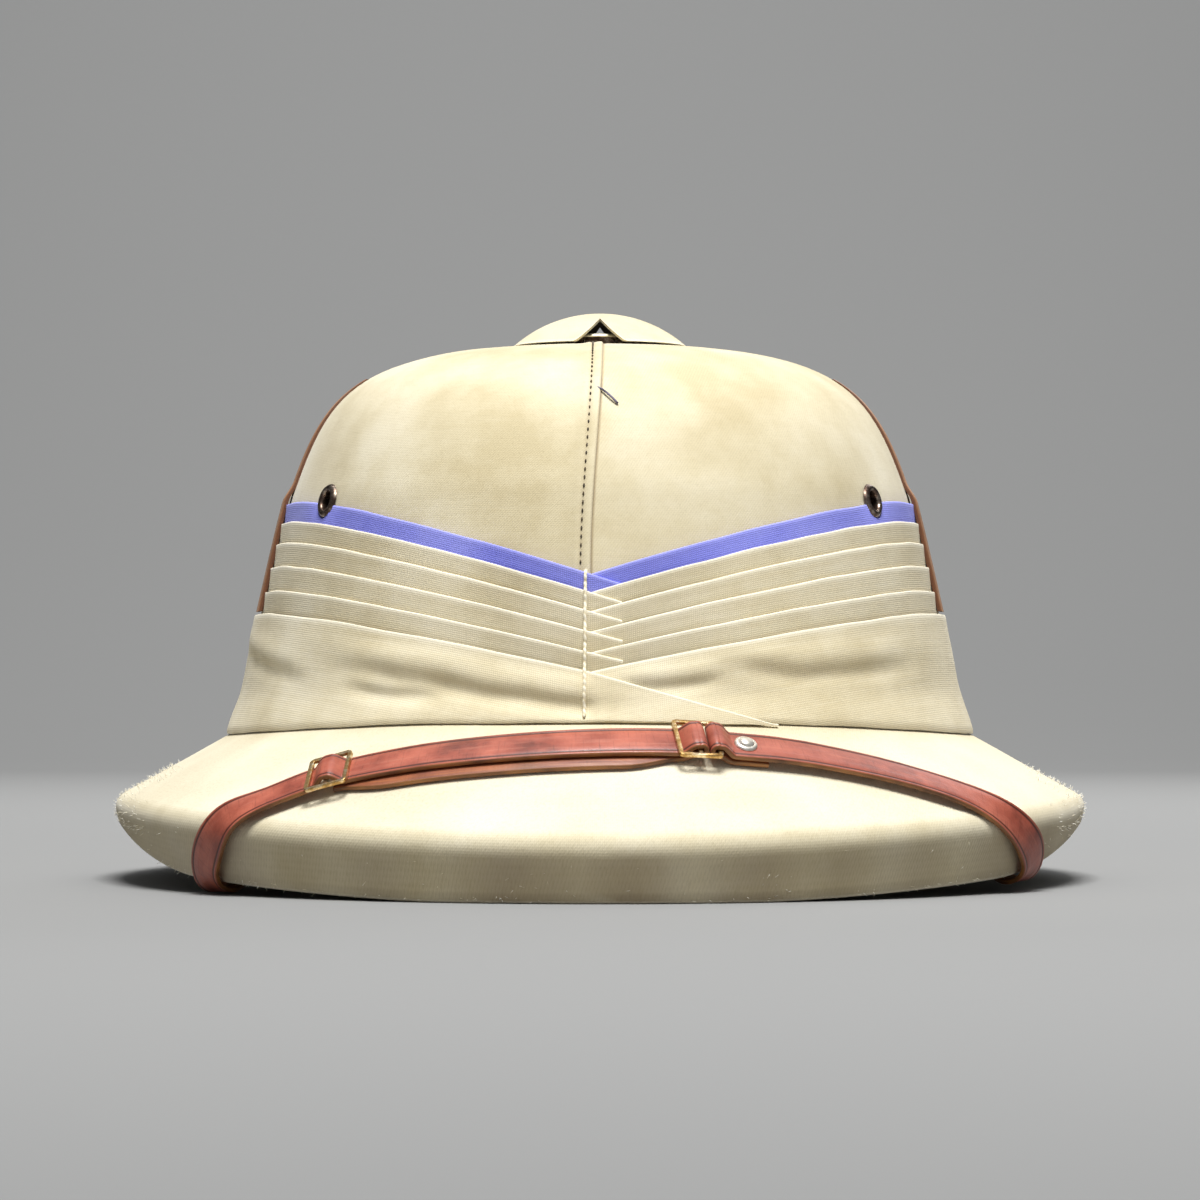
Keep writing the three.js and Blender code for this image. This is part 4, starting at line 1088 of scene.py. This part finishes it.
def makeTape(side, sign):
    heights = steps(tape["rows"], tape["foot"], tape["top"])

    def place(z, section):
        swing = math.degrees(section[0] / (crownHalfWidth(z) * crown["stretch"]))
        return wallPoint(sign * (tape["angle"] + swing), z, tapeStand(z) + section[1])

    def chart(z, section):
        return section[0] if section[1] > 0.3 else section[0] + 40, z

    bm = layCloth(heights, tapeSection, place, chart, {"raw": lambda z, section: section[2]})
    closeEnds(bm)
    name, node = "sideTape" + side.title(), "side_tape_" + side
    return finishPiece(name, bm, tapeHide, [node], sharp=60)


makeTape("left", -1)
makeTape("right", 1)

# chin strap: a route on the brim, share 0 at the crown, 1 at the ridge, 2 at the rim, 4 at the crown below

strap = {
    "width": 11, "sectionWidth": 11, "thick": 1.3, "low": 1.05, "high": 2.72, "over": 5.25,
    "bridgeFrom": 2.2, "bridgeTo": 3.9,
    "bridgeLift": 6.0, "rimFrom": 2.8, "rimTo": 1.3, "rimStand": 2.9, "tautStand": 2.5,
    "slideAngle": -33.5, "buckleAngle": 12.3,
    "studReach": 12.8, "tailReach": 19, "returnSag": 3.3, "anchorFromEnd": 8, "fine": 3,
    "rimCounts": (6, 16, 12), "evenPasses": 45, "settle": 12, "returnLead": 14, "tailSettle": 6,
    "foldLead": 4.4, "foldBack": 4.2,
    "left": [(-64, 3.75), (-58, 3.45), (-52, 2.95), (-49.2, 2.5), (-48.2, 2.12), (-47.6, 1.8), (-46.2, 1.35),
             (-43.5, 1.0), (-39, 0.76), (-33.5, 0.58), (-24, 0.43), (-12, 0.34), (0, 0.3),
             (10, 0.3), (22, 0.34)],
    "right": [(72, 3.75), (66, 3.45), (59.5, 2.95), (56.8, 2.5), (55.8, 2.12), (55.2, 1.8), (53.5, 1.35),
              (50, 1.0), (44.5, 0.76), (38, 0.56), (28, 0.4), (18, 0.33), (10, 0.3), (2, 0.3)],
}
buckle = {"across": 15.4, "along": 11.4, "bar": 1.1, "thick": 1.0, "pitch": 5.1, "stand": 4.0, "rise": 1.5,
          "corner": 1.2, "edge": 0.26}


def throughPoints(points, t):  # smooth line through the route's points
    spans = len(points) - 1
    i = min(int(t * spans), spans - 1)
    w = t * spans - i
    p1, p2 = points[i], points[i + 1]
    p0 = points[i - 1] if i > 0 else p1 * 2 - p2
    p3 = points[i + 2] if i + 2 <= spans else p2 * 2 - p1
    d0, d1, d2 = (max((b - a).length ** 0.5, 1e-4) for a, b in ((p0, p1), (p1, p2), (p2, p3)))
    m1 = ((p1 - p0) / d0 - (p2 - p0) / (d0 + d1) + (p2 - p1) / d1) * d1
    m2 = ((p2 - p1) / d1 - (p3 - p1) / (d1 + d2) + (p3 - p2) / d2) * d1
    return p1 + m1 * w + (p2 * 3 - p1 * 3 - m1 * 2 - m2) * w * w + (p1 * 2 - p2 * 2 + m1 + m2) * w ** 3


def measureRoute(rows):
    shareScale = 30
    points = [Vector((angle, share * shareScale)) for angle, share in rows]
    stops = []
    travelled = 0.0
    for i in range(601):
        at = throughPoints(points, i / 600)
        angle, share = at.x, limit(at.y / shareScale, 0, 4)
        under = limit((share - strap["bridgeFrom"]) / (strap["bridgeTo"] - strap["bridgeFrom"]), 0, 1)
        normal = brimNormal(angle, share)
        point = brimPoint(angle, share) + normal * (strap["bridgeLift"] * math.sin(math.pi * under))
        if stops:
            travelled += (point - stops[-1]["point"]).length
        stops.append({"angle": angle, "share": share, "normal": normal, "point": point,
                      "travelled": travelled})
    return stops


def routeAt(stops, travelled):
    i = limit(bisect.bisect_left([stop["travelled"] for stop in stops], travelled), 1, len(stops) - 1)
    before, after = stops[i - 1], stops[i]
    part = (travelled - before["travelled"]) / (after["travelled"] - before["travelled"])
    low, high = max(i - 16, 0), min(i + 16, len(stops) - 1)
    normal = sum((stop["normal"] for stop in stops[low:high + 1]), Vector()).normalized()
    ahead = (stops[high]["point"] - stops[low]["point"]).normalized()
    across = normal.cross(ahead).normalized()
    return {"point": before["point"].lerp(after["point"], part), "normal": ahead.cross(across),
            "across": across, "ahead": ahead}


def travelToAngle(stops, angle, rising):
    on = (stop for stop in stops if stop["share"] < 0.9)
    return next(s["travelled"] for s in on if (s["angle"] >= angle if rising else s["angle"] <= angle))


def travelToShare(stops, share):
    return next(stop["travelled"] for stop in stops if stop["share"] <= share)


def stretchOf(start, end, standStart, standEnd, count, shiftStart=0.0, shiftEnd=0.0):
    made = []
    for part in steps(count * strap["fine"])[1:]:
        soft = ease(part, 0, 1)
        made.append((mix(start, end, part), mix(standStart, standEnd, soft), mix(shiftStart, shiftEnd, soft)))
    return made


def rimStretch(stops, calm):  # from the hidden end, under the brim, round the rim and up on to the slope
    under, over = travelToShare(stops, strap["rimFrom"]), travelToShare(stops, strap["rimTo"])
    low, rim = strap["low"], strap["rimStand"]
    below, around, above = strap["rimCounts"]
    return (stretchOf(0, under, low, rim, below) + stretchOf(under, over, rim, rim, around)
            + stretchOf(over, calm, rim, strap["tautStand"], above))


def barTurn(centre, count):
    made = []
    for part in steps(count)[1:-1]:
        turn = math.pi * part
        along, above = buckle["rise"] * math.sin(turn), buckle["rise"] * math.cos(turn)
        made.append((centre + along, buckle["stand"] + above, 0))
    return made


leftStops, rightStops = measureRoute(strap["left"]), measureRoute(strap["right"])
slideAt = travelToAngle(leftStops, strap["slideAngle"], True)
buckleAt = travelToAngle(leftStops, strap["buckleAngle"], True)
rightBuckleAt = travelToAngle(rightStops, strap["buckleAngle"], False)
print("strap routes measured")


def leftPath():
    pitch, edge = buckle["pitch"], buckle["bar"] / 2 + 0.1
    low, high, over = strap["low"], strap["high"], strap["over"]
    weave, settle, lead = pitch - edge, strap["settle"], strap["returnLead"]
    calm, endBar, sag = slideAt - pitch - settle, buckleAt - pitch, -strap["returnSag"]
    path = [(0, low, 0)] + rimStretch(leftStops, calm)
    path += stretchOf(calm, slideAt - pitch - edge, strap["tautStand"], high, 4)
    path += stretchOf(slideAt - pitch - edge, slideAt - weave, high, high, 1)
    path += stretchOf(slideAt - weave, slideAt - edge, high, over, 6)
    path += stretchOf(slideAt - edge, slideAt + edge, over, over, 1)
    path += stretchOf(slideAt + edge, slideAt + weave, over, high, 6)
    path += stretchOf(slideAt + weave, slideAt + pitch + edge, high, high, 1)
    path += stretchOf(slideAt + pitch + edge, endBar - edge, high, high, 14)
    path += stretchOf(endBar - edge, endBar + edge, high, high, 1)
    path += stretchOf(endBar + edge, buckleAt - edge, high, over, 6)
    path += stretchOf(buckleAt - edge, buckleAt, over, over, 1)
    path += barTurn(buckleAt, 14) + [(buckleAt, high, 0)]
    path += stretchOf(buckleAt, endBar, high, low, 5)
    path += stretchOf(endBar, endBar - lead, low, low, 3, 0, sag)
    path += stretchOf(endBar - lead, slideAt + pitch + settle, low, low, 12, sag, sag)
    path += stretchOf(slideAt + pitch + settle, slideAt + 1.5, low, low, 3, sag, 0)
    return path


def rightPath():
    bar = rightBuckleAt - buckle["pitch"]
    edge, reach = buckle["bar"] / 2 + 0.1, strap["tailReach"]
    low, high, over = strap["low"], strap["high"], strap["over"]
    settle, lead, back = strap["tailSettle"], strap["foldLead"], strap["foldBack"]
    path = [(0, low, 0)] + rimStretch(rightStops, bar - reach - settle)
    path += stretchOf(bar - reach - settle, bar - reach + settle, strap["tautStand"], high, 5)
    path += stretchOf(bar - reach + settle, bar - lead, high, high, 3)
    path += stretchOf(bar - lead, bar - edge, high, over, 6)
    path += stretchOf(bar - edge, bar, over, over, 1)
    path += barTurn(bar, 14) + [(bar, high, 0)]
    path += stretchOf(bar, bar - back, high, low, 5)
    path += stretchOf(bar - back, bar - reach + settle, low, low, 3)
    return path


strapSection = [  # once round the leather: side, height, rawness of the edge
    (-5.2, 0.65, 0.1), (-4.75, 0.67, 0), (-4.45, 0.56, 0), (-4.25, 0.56, 0), (-4.0, 0.67, 0),
    (-2.2, 0.7, 0), (0, 0.71, 0), (2.2, 0.7, 0), (4.0, 0.67, 0), (4.25, 0.56, 0), (4.45, 0.56, 0),
    (4.75, 0.67, 0), (5.2, 0.65, 0.1), (5.42, 0.5, 0.9), (5.5, 0.2, 1), (5.5, -0.25, 1),
    (5.4, -0.52, 1), (5.1, -0.65, 0.6), (0, -0.65, 0.4), (-5.1, -0.65, 0.6), (-5.4, -0.52, 1),
    (-5.5, -0.25, 1), (-5.5, 0.2, 1), (-5.42, 0.5, 0.9), (-5.2, 0.65, 0.1),
]


def evenOut(places, count, passes):  # takes the small wobbles out of the stretch round the rim
    for _ in range(passes):
        for i in range(1, count):
            (a, acrossA), (b, acrossB), (c, acrossC) = places[i - 1:i + 2]
            places[i] = ((a + b * 2 + c) / 4, (acrossA + acrossB * 2 + acrossC).normalized())


def makeStrap(name, stops, path, node):
    places = []
    for travel, stand, shift in path:
        at = routeAt(stops, travel)
        places.append((at["point"] + at["normal"] * stand + at["across"] * shift, at["across"]))
    evenOut(places, sum(strap["rimCounts"]) * strap["fine"], strap["evenPasses"])
    frames, length = [], 0.0
    for i, (point, across) in enumerate(places):
        before, after = places[max(i - 1, 0)][0], places[min(i + 1, len(places) - 1)][0]
        ahead = (after - before).normalized()
        across = (across - ahead * across.dot(ahead)).normalized()
        length += (point - places[i - 1][0]).length if i else 0
        frames.append((point, across, ahead.cross(across).normalized(), length))

    def place(i, section):
        point, across, face, run = frames[i]
        side, height, raw = section
        return point + across * (side * strap["width"] / strap["sectionWidth"]) + face * height

    def chart(i, section):
        return section[0] if section[1] > -0.6 else section[0] + 40, frames[i][3]

    marks = {"raw": lambda i, section: section[2]}
    bm = layCloth(list(range(len(frames))), strapSection, place, chart, marks)
    closeEnds(bm)
    return finishPiece(name, bm, strapHide, [node], sharp=60)


makeStrap("strapLeft", leftStops, leftPath(), "strap_left")
makeStrap("strapRight", rightStops, rightPath(), "strap_right")


def makeBuckle(name, travelled, node):
    at = routeAt(leftStops, travelled)
    long, wide = buckle["along"] / 2, buckle["across"] / 2
    bar, window = buckle["bar"], buckle["pitch"] - buckle["bar"]
    linesX = [-long, -bar / 2 - window, -bar / 2, bar / 2, bar / 2 + window, long]
    linesY = [-wide, -wide + bar, wide - bar, wide]
    bm = bmesh.new()
    bmesh.ops.create_grid(bm, x_segments=5, y_segments=3, size=0.5)
    for vert in bm.verts:
        vert.co = (linesX[round((vert.co.x + 0.5) * 5)], linesY[round((vert.co.y + 0.5) * 3)], 0)
    windows = [face for face in bm.faces if abs(face.calc_center_median().y) < wide - bar
               and bar / 2 < abs(face.calc_center_median().x) < bar / 2 + window]
    bmesh.ops.delete(bm, geom=windows, context="FACES")
    raised = bmesh.ops.extrude_face_region(bm, geom=bm.faces[:])
    lifted = [item for item in raised["geom"] if isinstance(item, bmesh.types.BMVert)]
    bmesh.ops.translate(bm, vec=(0, 0, buckle["thick"]), verts=lifted)
    bmesh.ops.recalc_face_normals(bm, faces=bm.faces)
    corners = [edge for edge in bm.edges
               if all(abs(v.co.x) > long - 0.01 and abs(v.co.y) > wide - 0.01 for v in edge.verts)]
    bmesh.ops.bevel(bm, geom=corners, offset=buckle["corner"], affect="EDGES", segments=5, profile=0.5,
                    material=-1)
    bm.normal_update()
    hard = [edge for edge in bm.edges if len(edge.link_faces) == 2 and edge.calc_face_angle() > 0.6]
    bmesh.ops.bevel(bm, geom=hard, offset=buckle["edge"], affect="EDGES", segments=3, profile=0.5,
                    material=-1, clamp_overlap=True)
    stand = buckle["stand"] - buckle["thick"] / 2
    basis = Matrix((at["ahead"], at["across"], at["normal"])).transposed().to_4x4()
    seat = Matrix.Translation(at["point"] + at["normal"] * stand)
    bmesh.ops.transform(bm, matrix=seat @ basis, verts=bm.verts)
    return finishPiece(name, bm, wornBrass, [node], sharp=40)


makeBuckle("strapSlide", slideAt, "strap_slide")
makeBuckle("strapBuckle", buckleAt, "strap_buckle")

# studs
stud = {"head": 3, "dome": 1.5, "shank": 0.9}
at = routeAt(rightStops, rightBuckleAt - strap["studReach"])
base, foot = strap["high"] + 0.8, strap["low"] - 0.55
profile = [(0, base + stud["dome"]), (0.7, base + 1.46), (1.3, base + 1.32), (1.75, base + 1.08),
           (1.95, base + 0.8), (2.05, base + 0.62), (2.3, base + 0.66), (2.65, base + 0.6),
           (2.92, base + 0.36), (stud["head"], base), (stud["shank"], base), (stud["shank"], foot), (0, foot)]
bm = bmesh.new()
turnProfile(bm, profile, 36, standOn(at["point"], at["normal"]))
finishPiece("strapStud", bm, rubbedStud, ["strap_stud"], sharp=50)
for side, stops in (("left", leftStops), ("right", rightStops)):
    at = routeAt(stops, strap["anchorFromEnd"])
    base = strap["low"] + strap["thick"] / 2 + 0.35
    profile = [(0, base + 1.5), (2.4, base + 1.42), (3.4, base + 1.15), (3.85, base + 0.7), (4, base + 0.3),
               (3.9, base), (1.3, base), (1.3, 0.3), (0, 0.3)]
    bm = bmesh.new()
    turnProfile(bm, profile, 32, standOn(at["point"], at["normal"]))
    finishPiece("strapAnchor" + side.title(), bm, darkBrass, ["strap_anchor_" + side], sharp=50)

# stitches beside the lap seams
stitch = {"pitch": 2.25, "long": 1.2, "thick": 0.56, "offset": -2.7, "sink": 0.12, "top": 147.1,
          "aboveStripe": 1.2}


def layBead(bm, place, along, outward, long, thick):
    across = outward.cross(along).normalized()
    basis = Matrix((along, across, along.cross(across))).transposed().to_4x4()
    size = Matrix.Diagonal((long / 2, thick / 2, thick / 2, 1))
    matrix = Matrix.Translation(place) @ basis @ size
    bmesh.ops.create_uvsphere(bm, u_segments=6, v_segments=4, radius=1, matrix=matrix)


bm = bmesh.new()
for seam in range(4):
    signed = (0, 90, 180, -90)[seam]
    run, last = crownRunAt(stitch["top"]), crownRunAt(foldEdge(0, signed) + stitch["aboveStripe"])
    while run < last:
        half, z, outward, upward = crownAlong(run)
        shiftRun = crownAlong(run + 0.5)
        spots = []
        for r, h, o, u in ((half, z, outward, upward), shiftRun):
            angle = lapAngle(seam, stitch["offset"] * lapSign(seam), r, h)
            lift = (0.2 - stitch["sink"] + stitch["thick"] / 2) * ease(r, 24, 30)
            halfWide, halfLong = r + o * lift, r * stretchAt(r) + o * lift
            spots.append(ovalPoint(halfWide, halfLong, crown["centreY"], angle, h + u * lift))
        turn = math.radians(lapAngle(seam, stitch["offset"] * lapSign(seam), half, z))
        face = Vector((outward * math.sin(turn), -outward * math.cos(turn), upward)).normalized()
        layBead(bm, spots[0], (spots[1] - spots[0]).normalized(), face, stitch["long"], stitch["thick"])
        run += stitch["pitch"] * (1 + 0.08 * ripple(run, seam, 3, 4))
seamStitches = finishPiece("seamStitches", bm, seamThread)


def layTube(bm, points, radius, sides, swell=None):  # round thread along points
    loops = []
    for i, point in enumerate(points):
        ahead = (points[min(i + 1, len(points) - 1)] - points[max(i - 1, 0)]).normalized()
        turn = ahead.to_track_quat("Z", "Y").to_matrix().to_4x4()
        size = radius * (swell(i / (len(points) - 1)) if swell else 1)
        ring = bmesh.ops.create_circle(bm, segments=sides, radius=size, cap_ends=i in (0, len(points) - 1),
                                       matrix=Matrix.Translation(point) @ turn)["verts"]
        ringEdges = {edge for vert in ring for edge in vert.link_edges}
        loops.append(ringEdges)
    for first, second in zip(loops, loops[1:]):
        bmesh.ops.bridge_loops(bm, edges=list(first | second))


# cord that is sewn down over the crossing
cord = {"angle": -2.25, "radius": 0.42, "top": 83.0, "sides": 8, "step": 0.5}


def scarfFace(angle, z):  # how far the outermost cloth stands on the left side of the crossing
    for k in range(5):
        if z > foldEdge(k + 1, angle):
            return foldStand(k, angle, min(z, foldEdge(k, angle))) + overLift(angle)
    return wrapStand(angle, True, z)


hemAt = wrapFrame(cord["angle"], True)[2]
heights = [cord["top"] - cord["step"] * i for i in range(int((cord["top"] - hemAt - 0.6) / cord["step"]))]
raw = [max(scarfFace(cord["angle"], z + d) for d in (-1, -0.5, 0, 0.5, 1)) for z in heights]
points = []
for i, z in enumerate(heights):
    near = raw[max(i - 2, 0):i + 3]
    out = sum(near) / len(near) + cord["radius"] * mix(0.75, 0.35, ease(cord["top"] - z, 22, 28))
    if i < 2:
        out -= 1.2 * (2 - i) / 2
    points.append(wallPoint(cord["angle"] + 0.05 * ripple(z, 0, 4, 2), z, out))
bm = bmesh.new()
layTube(bm, points, cord["radius"], cord["sides"], lambda t: 1 + 0.12 * math.sin(t * 150))
bindingLine = finishPiece("bindingLine", bm, bindingCord)

# loose thread end near the top of the front seam
thread = {
    "points": [(-0.6, 131.0, 0.3), (0.6, 130.1, 0.7), (1.8, 129.0, 0.9), (2.9, 128.0, 0.9),
               (3.8, 127.2, 0.7), (4.6, 126.5, 0.4)],
    "radius": 0.3,
}


def frontPoint(x, z, out):
    angle = math.degrees(math.asin(x / crownHalfWidth(z)))
    return wallPoint(angle, z) + wallNormal(angle, z) * out


bm = bmesh.new()
layTube(bm, [frontPoint(*point) for point in thread["points"]], thread["radius"], 6)
threadEnd = finishPiece("threadEnd", bm, looseThread)

# raised nap and lint on the brim, each fibre a short thin cone
nap = {"slope": 420, "ridge": 420, "rim": 150, "flange": 70, "long": (0.5, 1.5),
       "thick": (0.05, 0.1), "clear": 0.3}


def layFibre(bm, place, direction, long, thick):
    matrix = standOn(place + direction * (long * 0.42), direction)
    bmesh.ops.create_cone(bm, cap_ends=True, segments=3, radius1=thick, radius2=thick * 0.5, depth=long,
                          matrix=matrix)


def scatterNap(bm, count, angles, shares, lie):
    for _ in range(count):
        angle = random.choice((-1, 1)) * random.uniform(*angles)
        share = random.uniform(*shares)
        normal = brimNormal(angle % 360, share)
        drift = Vector((random.uniform(-1, 1), random.uniform(-1, 1), random.uniform(-0.6, 0.8)))
        direction = (normal * lie + drift * 0.7).normalized()
        long, thick = random.uniform(*nap["long"]), random.uniform(*nap["thick"])
        root = brimPoint(angle % 360, share)
        if (root + direction * long).z > nap["clear"]:  # none under the floor
            layFibre(bm, root, direction, long, thick)


bm = bmesh.new()
scatterNap(bm, nap["slope"], (70, 108), (0.5, 0.95), 0.9)
scatterNap(bm, nap["ridge"], (62, 118), (0.9, 1.45), 0.9)
scatterNap(bm, nap["rim"], (2, 60), (1.9, 2.04), 0.5)
scatterNap(bm, nap["flange"], (2, 70), (1.1, 1.9), 0.25)
brimNap = finishPiece("brimNap", bm, napFibre)

# floor that sweeps up behind, soft light, camera
stage = {"tone": "#8a8a89", "wide": 6, "front": -3.5, "bend": 1.6, "high": 3.2}
sweep = bpy.data.materials.new("paleSweep")
sweep.use_nodes = True
paint = sweep.node_tree.nodes["Principled BSDF"]
paint.inputs["Base Color"].default_value = tone(stage["tone"])
paint.inputs["Roughness"].default_value = 0.9
bm = bmesh.new()
line = [bm.verts.new((-stage["wide"], stage["front"], 0)), bm.verts.new((-stage["wide"], stage["bend"], 0))]
for part in steps(14)[1:]:
    turn = math.pi / 2 * part
    line.append(bm.verts.new((-stage["wide"], stage["bend"] + math.sin(turn), 1 - math.cos(turn))))
line.append(bm.verts.new((-stage["wide"], stage["bend"] + 1, stage["high"])))
edges = [bm.edges.new(pair) for pair in zip(line, line[1:])]
drawn = bmesh.ops.extrude_edge_only(bm, edges=edges)
moved = [item for item in drawn["geom"] if isinstance(item, bmesh.types.BMVert)]
bmesh.ops.translate(bm, vec=(2 * stage["wide"], 0, 0), verts=moved)
bmesh.ops.recalc_face_normals(bm, faces=bm.faces)
mesh = bpy.data.meshes.new("floorSweep")
bm.to_mesh(mesh)
bm.free()
mesh.shade_smooth()
mesh.materials.append(sweep)
floorSweep = bpy.data.objects.new("floorSweep", mesh)
bpy.context.scene.collection.objects.link(floorSweep)

lamps = [
    {"name": "overhead", "at": (0.05, -0.5, 1.25), "aim": (0, -0.05, 0.06), "size": 0.55, "power": 27},
    {"name": "behind", "at": (0.5, 1.0, 1.0), "aim": (0, 0, 0.1), "size": 0.8, "power": 4},
    {"name": "backdrop", "at": (0.0, 0.7, 1.6), "aim": (0, 2.5, 0.5), "size": 1.2, "power": 40},
]
for lamp in lamps:
    light = bpy.data.lights.new(lamp["name"], "AREA")
    light.size, light.energy = lamp["size"], lamp["power"]
    holder = bpy.data.objects.new(lamp["name"], light)
    holder.location = lamp["at"]
    holder.rotation_euler = (Vector(lamp["aim"]) - Vector(lamp["at"])).to_track_quat("-Z", "Y").to_euler()
    bpy.context.scene.collection.objects.link(holder)
world = bpy.data.worlds.new("studio")
world.use_nodes = True
world.node_tree.nodes["Background"].inputs["Color"].default_value = (0.9, 0.94, 1.0, 1)
world.node_tree.nodes["Background"].inputs["Strength"].default_value = 0.2
bpy.context.scene.world = world
bpy.context.scene.view_settings.view_transform = "Standard"  # plain colours, as a camera gives them

view = {"at": (0, -1.3, 0.0534), "aim": (0, 0, 0.0775), "lens": 139}
lens = bpy.data.cameras.new("camera")
lens.lens = view["lens"]
camera = bpy.data.objects.new("camera", lens)
camera.location = view["at"]
camera.rotation_euler = (Vector(view["aim"]) - Vector(view["at"])).to_track_quat("-Z", "Y").to_euler()
bpy.context.scene.collection.objects.link(camera)
bpy.context.scene.camera = camera
print("stage and camera set")
